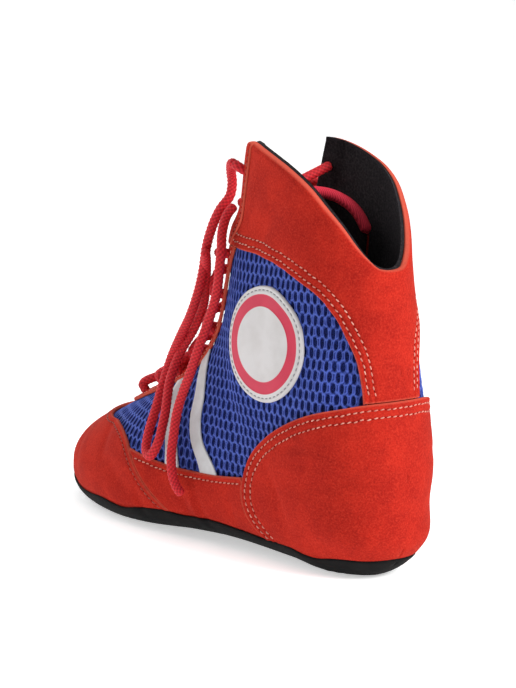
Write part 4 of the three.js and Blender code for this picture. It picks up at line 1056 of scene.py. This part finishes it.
# A brighter yarn is laid round every slot, 0.45 mm from its edge, and the wall of the slot is darkened with
# painted shade
slot_edge = node(air_mesh, "ShaderNodeAttribute", {"attribute_name": "rim"}).outputs["Fac"]
from_yarn = node(air_mesh, "ShaderNodeMath", {"operation": "SUBTRACT", 1: .45}, _0=slot_edge).outputs[0]
near_yarn = node(air_mesh, "ShaderNodeMath", {"operation": "ABSOLUTE"}, _0=from_yarn).outputs[0]
laid = node(air_mesh, "ShaderNodeMapRange", {"From Min": .28, "From Max": .05, "To Max": .75},
            Value=near_yarn).outputs[0]
bright = node(air_mesh, "ShaderNodeMix", {"data_type": "RGBA", 7: linear("#5670d2")}, _0=laid,
              _6=knit).outputs[2]
# Painted shade on the slot's wall and lip, within 0.16 mm of its edge
slot_wall_shade = node(air_mesh, "ShaderNodeMapRange", {"From Min": .16, "From Max": .0}, Value=slot_edge).outputs[0]
netted = node(air_mesh, "ShaderNodeMix", {"data_type": "RGBA", 7: linear("#101a52")}, _0=slot_wall_shade, _6=bright)
relief = node(air_mesh, "ShaderNodeBump", {"Strength": .8, "Distance": .00015}, Height=loops)
surface(air_mesh, netted.outputs[2], relief.outputs[0])

# Behind the slots lies the spacer fabric, a dark navy web of crossing yarns 0.9 mm apart
spacer = new_material("navy spacer fabric", 0.85, 0.15, 0.1, "#6a7ad0")
place = node(spacer, "ShaderNodeTexCoord").outputs["Object"]
web = node(spacer, "ShaderNodeTexVoronoi", {"feature": "DISTANCE_TO_EDGE", "Scale": 1 / .0009},
           Vector=place).outputs[0]
yarns = node(spacer, "ShaderNodeMapRange", {"From Min": .2, "From Max": .02}, Value=web).outputs[0]
navy = node(spacer, "ShaderNodeMix", {"data_type": "RGBA", 6: linear("#090f33"), 7: linear("#1b2a70")},
            _0=yarns)
relief = node(spacer, "ShaderNodeBump", {"Strength": .7, "Distance": .0002}, Height=yarns)
surface(spacer, navy.outputs[2], relief.outputs[0])


def window(grid, overlap):
    """How far inside the open part of the cloth each place of a grid is. The sheet reaches under
    the pieces round it by the overlap."""
    field = seam_fields(*grid[:2])
    covers = [-field[name] for name in ("cuff", "counter", "rand", "toe", "stay")]
    return least(*covers, field["seam"], field["throat"]) + overlap


def side_grid(rows, columns, side):
    """Places on one side of the boot, from the toe to the top, with faces that point outwards."""
    at, around, faces = sheet_grid(CLOTH_FROM, CLOTH_TO, rows, 0, side, columns)
    return at, around, faces if side > 0 else faces[:, ::-1]


for name, side in SIDES:
    cloth = grain(*np.meshgrid(np.linspace(CLOTH_FROM, CLOTH_TO, GRAIN_ROWS),
                               np.linspace(0, 1.0, GRAIN_COLUMNS) * side, indexing="ij"))
    net = side_grid(452, 156, side)
    row = (net[0] - CLOTH_FROM) / (CLOTH_TO - CLOTH_FROM) * (GRAIN_ROWS - 1)
    column = abs(net[1]) * (GRAIN_COLUMNS - 1)
    r, c = np.minimum(row.astype(int), GRAIN_ROWS - 2), np.minimum(column.astype(int), GRAIN_COLUMNS - 2)
    u, v = row - r, column - c
    across, up = [(g[r, c] * (1 - u) * (1 - v) + g[r + 1, c] * u * (1 - v)
                   + g[r, c + 1] * (1 - u) * v + g[r + 1, c + 1] * u * v) for g in cloth]
    holes = slot_distance(across, up)
    fit(panel(f"air_mesh_{name}", net, least(window(net, 2.5), holes), MESH_FACE, MESH_BACK, roll=.8,
              marks=[across / 10, up / 10, holes], backed=True), air_mesh, "mesh_blue", "upper")
    web_grid = side_grid(110, 60, side)
    fit(panel(f"spacer_{name}", web_grid, window(web_grid, 2.2), SPACER_FACE, SPACER_BACK, roll=.1),
        spacer, "mesh_blue")

# The saddle bands: two strips of smooth white coated leather on each side, stuck and sewn under the
# rand and the eyestay, so that only their long edges show.
BAND_WIDTH, BAND_FACE, BAND_BACK = 11.0, -.75, -1.55
# Middle line by share of the length and of the instep height; share of the width
BANDS = {
    "front": np.array([(.505, .250, 1.1), (.511, .360, 1.0), (.532, .517, .9), (.555, .625, .9),
                       (.590, .790, .9)]),
    "rear": np.array([(.400, .250, 1.3), (.411, .366, 1.15), (.451, .500, .85), (.465, .600, .8),
                      (.470, .715, .8), (.500, .900, 1.0), (.520, 1.0, 1.1)]),
}
coated = new_material("coated white leather", 0.42, 0.45)
place = node(coated, "ShaderNodeTexCoord").outputs["Object"]
# Polyurethane skin on split leather: it takes a little grey dirt in patches, and pores 0.5 mm
# apart and bending wrinkles 3 mm apart break up its gloss
scuff = node(coated, "ShaderNodeTexNoise", {"Scale": 1 / .008, "Detail": 5.0}, Vector=place).outputs["Fac"]
dirty = node(coated, "ShaderNodeMapRange", {"From Min": .4, "From Max": .75}, Value=scuff).outputs[0]
white = node(coated, "ShaderNodeMix", {"data_type": "RGBA", 6: linear("#cfd0d2"), 7: linear("#bfbebe")},
             _0=dirty).outputs[2]
gloss = node(coated, "ShaderNodeMapRange", {"To Min": .36, "To Max": .56}, Value=scuff).outputs[0]
pore = node(coated, "ShaderNodeTexVoronoi", {"Scale": 1 / .0005}, Vector=place).outputs[0]
wrinkle = node(coated, "ShaderNodeTexNoise", {"Scale": 1 / .003, "Detail": 2.0},
               Vector=place).outputs["Fac"]
pored = node(coated, "ShaderNodeBump", {"Strength": .3, "Distance": .00004}, Height=pore).outputs[0]
relief = node(coated, "ShaderNodeBump", {"Strength": .6, "Distance": .0003}, Height=wrinkle,
              Normal=pored)
surface(coated, white, relief.outputs[0], gloss)
at, around, faces = sheet_grid(.35, .75, 190, -.95, .95, 271)
band_skin, _ = on_last(at, around)
band_seams = seam_fields(at, around)
band_limit = least(-band_seams["rand"] + 2, -band_seams["toe"] + 2, -band_seams["stay"] + 2)
for band, table in BANDS.items():
    edges = [spline(np.stack([table[:, 0] * LENGTH + turn * table[:, 2] * BAND_WIDTH / 2,
                              table[:, 1] * INSTEP], 1), 2) for turn in (1, -1)]
    outline = np.concatenate([edges[0], edges[1][::-1]])
    strip = on_surface(band_skin, inside(band_skin[..., 0], band_skin[..., 2], outline))
    for name, side in SIDES:
        edge = least(strip, on_side(around, side), band_limit)
        fit(panel(f"band_{band}_{name}_leather", (at, around, faces), edge, BAND_FACE, BAND_BACK,
                  roll=.45), coated, "band_white", f"band_{band}_{name}")

# The patch: a soft moulded disc on the outer ankle, white with a red ring, with a rounded rim and a
# row of stitches just inside it.
PATCH_AT, PATCH_AROUND, PATCH_RADIUS = .886, .442, 28.5
PATCH_FACE, PATCH_BACK, PATCH_ROLL = -.25, -1.5, 1.0
RING_OUT, RING_IN, PATCH_STITCH = 24.4, 18.4, 26.4


def near_place(at, around, targets):
    """Places on the skin whose points lie over the targets, seen along the normal at a place:
    repeated steps by the inverse of the two tangents there."""
    eps = 1e-3
    centre, normal = on_last(at, around)
    du = (on_last(at + eps, around)[0] - centre) / eps
    dv = (on_last(at, around + eps)[0] - centre) / eps
    back = np.linalg.inv(np.stack([du, dv, normal], 1))
    place = np.stack([np.full(len(targets), at), np.full(len(targets), around)], 1)
    for _ in range(14):
        now, _ = on_last(place[:, 0], place[:, 1])
        place += ((targets - now) @ back.T)[:, :2]
    return place


def patch():
    """A disc of rings whose height over the skin is a profile of the radius: rounded rim, a groove
    for the stitches, and edges of the red ring that stand a little higher."""
    radii = np.concatenate([np.linspace(0, 17, 12), np.linspace(17.3, PATCH_RADIUS, 38)])
    turns = np.linspace(0, 2 * np.pi, 121)[:-1]
    centre, normal = on_last(PATCH_AT, PATCH_AROUND)
    level = np.cross((0, 0, 1), normal)
    level /= np.linalg.norm(level)
    upward = np.cross(normal, level)
    flat = np.stack([np.outer(radii, np.cos(turns)), np.outer(radii, np.sin(turns))], -1)
    targets = (centre + flat[..., :1] * level + flat[..., 1:] * upward).reshape(-1, 3)
    place = near_place(PATCH_AT, PATCH_AROUND, targets)
    r = np.repeat(radii, len(turns))
    rim = np.clip((PATCH_RADIUS - r) / PATCH_ROLL, 0, 1)
    height = PATCH_FACE - PATCH_ROLL * (1 - np.sqrt(1 - (1 - rim) ** 2))
    height -= .35 * np.exp(-((r - PATCH_STITCH) / .55) ** 2)
    height += .12 * (np.exp(-((r - RING_OUT) / .35) ** 2) + np.exp(-((r - RING_IN) / .35) ** 2))
    height += .12 * np.clip(1 - r / 17, 0, 1) ** 2 - .08 * ((r < RING_OUT) & (r > RING_IN))
    top, _ = on_last(place[:, 0], place[:, 1], height)
    bottom, _ = on_last(place[:, 0], place[:, 1], np.full(len(r), PATCH_BACK))
    count = len(turns)
    index = np.arange(len(radii) * count).reshape(len(radii), count)
    after = np.roll(index, -1, 1)
    quads = np.stack([index[:-1], index[1:], after[1:], after[:-1]], -1).reshape(-1, 4)
    triangles = np.concatenate([quads[:, [0, 1, 2]], quads[:, [0, 2, 3]]])
    uv = flat.reshape(-1, 2)
    top, triangles, bottom, uv = weld(top, triangles, bottom, uv)
    points, triangles = closed(top, bottom, triangles)
    return body("side_patch_disc", points, triangles, np.concatenate([uv, uv]))


moulded = new_material("soft moulded patch", 0.48, 0.4)
# Coloured vinyl poured flush: the UV map holds millimetres from the middle, and the red lies
# between two circles. The skin has a fine leather grain 0.6 mm across and a few grey smudges.
flat = node(moulded, "ShaderNodeUVMap", {"uv_map": "UVMap"}).outputs[0]
radius = node(moulded, "ShaderNodeVectorMath", {"operation": "LENGTH"}, Vector=flat).outputs["Value"]
place = node(moulded, "ShaderNodeTexCoord").outputs["Object"]
smudge = node(moulded, "ShaderNodeTexNoise", {"Scale": 1 / .01, "Detail": 5.0},
              Vector=place).outputs["Fac"]
smudged = node(moulded, "ShaderNodeMapRange", {"From Min": .4, "From Max": .8}, Value=smudge).outputs[0]
pale = node(moulded, "ShaderNodeMix", {"data_type": "RGBA", 6: linear("#d3d0d0"), 7: linear("#c8c4c3")},
            _0=smudged).outputs[2]
crimson = node(moulded, "ShaderNodeMix", {"data_type": "RGBA", 6: linear("#cc2b4a"), 7: linear("#c02845")},
               _0=smudged).outputs[2]
from_middle = node(moulded, "ShaderNodeMath", {"operation": "SUBTRACT", 1: (RING_OUT + RING_IN) / 2},
                   _0=radius).outputs[0]
from_ring = node(moulded, "ShaderNodeMath", {"operation": "ABSOLUTE"}, _0=from_middle).outputs[0]
half_ring = (RING_OUT - RING_IN) / 2
in_ring = node(moulded, "ShaderNodeMapRange", {"From Min": half_ring + .12, "From Max": half_ring - .12},
               Value=from_ring).outputs[0]
face = node(moulded, "ShaderNodeMix", {"data_type": "RGBA"}, _0=in_ring, _6=pale, _7=crimson)
cell = node(moulded, "ShaderNodeTexVoronoi", {"Scale": 1 / .0006}, Vector=place).outputs[0]
relief = node(moulded, "ShaderNodeBump", {"Strength": .5, "Distance": .00006}, Height=cell)
surface(moulded, face.outputs[2], relief.outputs[0])
fit(patch(), moulded, "patch_white", "side_patch")

# The patch is sewn on with grey thread, in a circle of stitches 3 mm apart
PATCH_STITCHES = 54
turn = np.linspace(0, 2 * np.pi, PATCH_STITCHES + 1)[:-1]
centre, out = on_last(PATCH_AT, PATCH_AROUND)
level = np.cross((0, 0, 1), out)
level /= np.linalg.norm(level)
upward = np.cross(out, level)
target = centre + PATCH_STITCH * (np.outer(np.cos(turn), level) + np.outer(np.sin(turn), upward))
spot = near_place(PATCH_AT, PATCH_AROUND, target)
point, out = on_last(spot[:, 0], spot[:, 1], np.full(PATCH_STITCHES, PATCH_FACE - .1))
ahead = np.outer(-np.sin(turn), level) + np.outer(np.cos(turn), upward)
grey = new_material("grey bonded thread", 0.6, 0.3, 0.2)
place = node(grey, "ShaderNodeTexCoord").outputs["Object"]
twist = node(grey, "ShaderNodeTexNoise", {"Scale": 1 / .0004, "Detail": 2.0}, Vector=place).outputs["Fac"]
shade = node(grey, "ShaderNodeMix", {"data_type": "RGBA", 6: linear("#77757a"), 7: linear("#a5a2a4")},
             _0=twist)
surface(grey, shade.outputs[2])
fit(strands("patch_stitches", [(point, ahead, out)], length=1.9, width=.6, sink=.3), grey, "patch_white")

# The tongue: suede outside and black textile inside, with its top edge bound in crimson tape. It
# lies inside the throat, slides to the inner side and leans back at the top.
# Its edge: share of the length; share of the rise from the notch behind to the flap's tip
TONGUE = np.array([(.08, .02), (.20, .12), (.235, .38), (.27, .50), (.31, .56), (.50, .56)])
LEAN_FROM, TONGUE_LEAN, TONGUE_SLIDE = .72, 26.0, .08
TONGUE_TUCK, TONGUE_MIDDLE = 5.0, 1.5
TONGUE_FROM, TONGUE_TO = .262, 1.0


def ridge_out(at):
    """The direction square to the ridge in the side view."""
    ahead = on_last(at + .01, 0)[0] - on_last(at - .01, 0)[0]
    ahead /= np.linalg.norm(ahead, axis=-1, keepdims=True)
    return np.stack([ahead[..., 2], np.zeros_like(at), -ahead[..., 0]], -1)


def tongue_point(at, around, depth):
    """A place on the tongue: tucked under the lining, slid to the inner side and leaned back by a
    share of the height that starts and ends level."""
    share = np.clip((at - LEAN_FROM) / (1.0 - LEAN_FROM), 0, None)
    ease = share * share * (3 - 2 * share)
    point, _ = on_last(at, around - TONGUE_SLIDE * ease, -TONGUE_TUCK - depth)
    return point - ridge_out(at) * (TONGUE_LEAN * ease)[..., None]


def tongue_half(at):
    """Half the tongue's width as a share of the half girth, a little wider towards the top."""
    return .22 + .03 * (at - .30) / .70


at, across, faces = sheet_grid(TONGUE_FROM, TONGUE_TO, 120, -1, 1, 45)
top_face = tongue_point(at, across * tongue_half(at), np.zeros_like(at))
line = spline(np.stack([TONGUE[:, 0] * LENGTH, NOTCH + TONGUE[:, 1] * (TIP - NOTCH)], 1), 2)
# The paler frayed fibres and the painted highlight belong to a cut edge only, and the tongue's is bound
NO_EDGE = 9.0
tongue_edge = inside(top_face[..., 0], top_face[..., 2],
                     np.concatenate([line, [(400, 180), (400, -400), (-400, -400), (-400, 150)]]))
tongue_side = (1 - abs(across)) * 30
for name, first, second, cloth, slot in (("tongue_suede", 0, 1.45, suede, "suede_red"),
                                         ("tongue_lining", 1.5, 3.0, brushed, "lining_black")):
    values = np.stack([at.ravel(), (across * tongue_half(at)).ravel(),
                       least(tongue_edge, tongue_side).ravel()], 1)
    values, cut = split(values, faces, 2, False)
    drop = 1 - np.sqrt(1 - (1 - np.clip(values[:, 2] / .7, 0, 1)) ** 2)
    outside = tongue_point(values[:, 0], values[:, 1], first + .5 * drop)
    inside_face = tongue_point(values[:, 0], values[:, 1], second - .5 * drop)
    outside, cut, inside_face = weld(outside, cut, inside_face)
    points, cut = closed(outside, inside_face, cut)
    fit(body(name, points, cut, rim=np.full(len(points), NO_EDGE)), cloth, slot, "tongue")


edge_places = crossings(tongue_edge, 1.0, at, across)
edge_points = tongue_point(edge_places[:, 0], edge_places[:, 1] * tongue_half(edge_places[:, 0]),
                           np.full(len(edge_places), TONGUE_MIDDLE))
edge_points = edge_points[np.argsort(edge_places[:, 1])]


def eased(path, times):
    """Each inner point moves to the mean of its neighbours and twice itself, a number of times."""
    for _ in range(times):
        path = np.concatenate([path[:1], (path[:-2] + 2 * path[1:-1] + path[2:]) / 4, path[-1:]])
    return path


def turned_frames(path):
    """Two directions across a path that turn as little as they can from point to point."""
    ahead = np.gradient(path, axis=0)
    ahead /= np.linalg.norm(ahead, axis=1, keepdims=True)
    side = np.empty_like(path)
    first = np.cross(ahead[0], (0.3, 0.2, 1))
    side[0] = first / np.linalg.norm(first)
    for k in range(1, len(path)):
        step = side[k - 1] - ahead[k] * (side[k - 1] @ ahead[k])
        side[k] = step / np.linalg.norm(step)
    return side, np.cross(ahead, side)


def tube(name, path, radius, rim=None):
    """A round strand: at each point of the path a ring whose radii are a row of radius, across the
    path in its turned frame, and a fan of triangles at both ends."""
    side, up = turned_frames(path)
    sides = radius.shape[1]
    angle = np.linspace(0, 2 * np.pi, sides + 1)[None, :-1, None]
    across = np.cos(angle) * side[:, None] + np.sin(angle) * up[:, None]
    ring = path[:, None] + radius[..., None] * across
    index = np.arange(radius.size).reshape(radius.shape)
    after = np.roll(index, -1, 1)
    quads = np.stack([index[:-1], after[:-1], after[1:], index[1:]], -1).reshape(-1, 4)
    first, last = np.full(sides, radius.size), np.full(sides, radius.size + 1)
    triangles = np.concatenate([quads[:, [0, 1, 2]], quads[:, [0, 2, 3]],
                                np.stack([first, after[0], index[0]], 1),
                                np.stack([last, index[-1], after[-1]], 1)])
    return body(name, np.concatenate([ring.reshape(-1, 3), path[:1], path[-1:]]), triangles, rim=rim)


def rounded(path, reach, least_share):
    """The share of its radius that a strand has at each point: a quarter of a circle over the
    reach from either end."""
    along = run_along(path)
    share = np.clip(np.minimum(along, along[-1] - along) / reach, least_share, 1)
    return np.sqrt(1 - (1 - share) ** 2)[:, None]


# Crimson tape, woven in ribs 0.7 mm apart, is wrapped round a cord and sewn over the raw top edge
tape = new_material("ribbed crimson tape", 0.7, 0.2, 0.12, "#ff8080")
place = node(tape, "ShaderNodeTexCoord").outputs["Object"]
rib = node(tape, "ShaderNodeTexWave", {"bands_direction": "Y", "Scale": WAVE / .0007, "Distortion": .6},
           Vector=place).outputs["Fac"]
woven = node(tape, "ShaderNodeMix", {"data_type": "RGBA", 6: linear("#b81e34"), 7: linear("#e4384e")},
             _0=rib)
relief = node(tape, "ShaderNodeBump", {"Strength": .6, "Distance": .00012}, Height=rib)
surface(tape, woven.outputs[2], relief.outputs[0])
BINDING_RADIUS, BINDING_SIDES = 2.9, 12
binding_path = eased(spline(edge_points[::4], 1.2), 6)
girth = BINDING_RADIUS * rounded(binding_path, BINDING_RADIUS, .02)
fit(tube("tongue_binding", binding_path, np.repeat(girth, BINDING_SIDES, 1)), tape, "suede_red")

# The lace: one round braided polyester cord, 5 mm thick. It crosses the throat through punched
# holes, makes two bars between the flaps, and hangs free as a loop and a tail. A braid shows as
# rows of short slanted bumps.
LACE, PLAITS, PLAIT_STEP, LACE_SIDES = 5.0, 6, 2.3, 24
LACE_STEP = .55


def lace(name, path):
    """A tube whose radius rises and falls with the product of a sine round it and one along it,
    so that the bumps lie in a diagonal check."""
    angle = np.linspace(0, 2 * np.pi, LACE_SIDES + 1)[None, :-1]
    plait = np.sin(PLAITS * angle) * np.sin(2 * np.pi * run_along(path) / PLAIT_STEP)[:, None]
    radius = (LACE / 2 - 0.14 + 0.22 * plait) * rounded(path, 1.6, .03)
    return tube(name, path, radius, np.concatenate([plait.ravel(), [0, 0]]))


# Polyester yarn, dyed red through, braided round a core: the plaits catch the light and the gaps
# between them lie in shade. Its fibres, drawn 0.45 mm thick where real ones are 0.15 so that they
# show, give the plaits their silky grain.
lace_red = new_material("braided polyester cord", 0.62, 0.25, 0.12, "#ff8080")
place = node(lace_red, "ShaderNodeTexCoord").outputs["Object"]
plait = node(lace_red, "ShaderNodeAttribute", {"attribute_name": "rim"}).outputs["Fac"]
raised = node(lace_red, "ShaderNodeMapRange", {"From Min": -.5, "From Max": .5}, Value=plait).outputs[0]
fibre = node(lace_red, "ShaderNodeTexNoise", {"Scale": 1 / .00045, "Detail": 3.0},
             Vector=place).outputs["Fac"]
yarn = node(lace_red, "ShaderNodeMix", {"data_type": "RGBA", 6: linear("#a0121b"), 7: linear("#dc2630")},
            _0=raised).outputs[2]
worn = node(lace_red, "ShaderNodeMapRange", {"From Min": .45, "From Max": .75, "To Max": .18},
            Value=fibre).outputs[0]
cord_color = node(lace_red, "ShaderNodeMix", {"data_type": "RGBA", 7: linear("#f0525a")}, _0=worn, _6=yarn)
relief = node(lace_red, "ShaderNodeBump", {"Strength": .6, "Distance": .00012}, Height=fibre).outputs[0]
surface(lace_red, cord_color.outputs[2], relief)

# Where it lies on the boot, its middle is this far off the suede
LACE_LIFT = LACE / 2 + 1.7


def lace_bar(start, end):
    """From an eyelet on the inner side over the edges of the throat to the next row's outer one,
    bedded on the tongue between them, and down into its hole at each end."""
    spots = []
    for place in (-1, -.5, .5, 1):
        at = start + (end - start) * (place + 1) / 2
        side = np.sign(place)
        inset = EYELET_INSET if abs(place) == 1 else 0.0
        reach = throat_arc(at, side) + inset
        around = side * reach / abs(from_ridge(at, side))
        spots.append(on_last(at, around, LACE_LIFT)[0])
        if inset:
            spots.append(on_last(at, around, -2.0)[0])
    middle = (start + end) / 2
    out = ridge_out(np.array(middle))
    between = []
    for share in (.15, .35, .5, .65, .85):
        point = spots[2] * (1 - share) + spots[3] * share
        at = start + (end - start) * (.25 + share / 2)
        side = np.sign(share - .5)
        around = side * throat_arc(at, side) / abs(from_ridge(at, side or 1)) * abs(2 * share - 1)
        bed = tongue_point(np.array(at), np.array(around), np.array(0.0))
        between.append(point + out * max(0, (bed - point) @ out + LACE_LIFT))
    return np.stack([spots[1], spots[0], spots[2], *between, spots[3], spots[4], spots[5]])


for k in range(len(EYELETS) - 1):
    for way, (start, end) in enumerate(((EYELETS[k], EYELETS[k + 1]), (EYELETS[k + 1], EYELETS[k]))):
        fit(lace(f"lace_crossing_{k + 1}_{'ab'[way]}", spline(lace_bar(start, end), LACE_STEP)),
            lace_red, "lace_red", "lace_crossings")
for name, route in (
        ("upper", [[89, -22.6, 192], [91, -12, 187.5], [93.5, 0, 182.5], [95.5, 12, 178.5],
                   [96, 21.5, 175]]),
        ("lower", [[94, -30.4, 183.5], [101, -28, 182.5], [106.5, -21.5, 181], [108.5, -8, 178.5],
                   [108.5, 8, 176], [108, 20.2, 173.6]])):
    fit(lace(f"lace_bar_{name}_cord", spline(route, LACE_STEP)), lace_red, "lace_red", f"lace_bar_{name}")

# The free lace, by listed points: the loop goes down the outer side and back up, and the
# tail hangs from the lower bar
FREE_STEP = 0.45
loop_path = spline([
    [101, 27.5, 194.5], [106, 26, 194], [112, 22, 189], [114, 20, 183], [114.5, 21, 177], [117.5, 25, 170],
    [121, 27, 162], [125, 28, 151], [128, 28, 139], [132, 28.5, 127], [138, 29, 115], [149, 28, 102],
    [158, 27.5, 90], [161, 30.5, 77], [158.5, 37, 64], [155.5, 44, 51], [152.5, 47, 44], [147.5, 48, 42.5],
    [143.5, 46, 49], [145, 40.5, 63], [150.8, 33, 80.3], [151.5, 26.3, 93.3], [144.6, 22.5, 106.4],
    [138.3, 21.2, 118.4], [133.2, 23.2, 128.3], [128.8, 25.6, 137.6], [124.2, 28.8, 144.4],
    [120, 32.2, 149.6]], FREE_STEP)
tail_path = spline([
    [108.3, 22.3, 173.2], [110, 26, 168], [108.5, 29.9, 160], [105.5, 32.5, 152], [106, 33.3, 143],
    [108, 33.5, 131], [112.5, 34.5, 118], [117.5, 37.5, 103], [123.5, 38.8, 89], [130, 39.8, 76],
    [132.5, 41.5, 66], [132.5, 43.5, 55], [132, 45.3, 45], [130, 46, 36], [127, 45.5, 30],
    [123, 44.8, 26.5]], FREE_STEP)


def in_row(path):
    """Millimetres from the back of the heel as metres in the row's frame."""
    return (path - (HEEL_SEAT, 0, 0)) / 1000


for name, path, far_end in (("lace_loop", loop_path, "object"), ("lace_tail", tail_path, "bare")):
    cord = fit(lace(f"{name}_cord", path), lace_red, "lace_red", name)
    row = in_row(path)

# Where the loop comes out of the flap's top hole and turns forward
turn_path = spline([[93.5, 19, 189.5], [96.6, 24, 191.2], [98.6, 27, 193.2], [101.8, 27.5, 194.6]],
                   FREE_STEP)
fit(lace("lace_turn_cord", turn_path), lace_red, "lace_red")
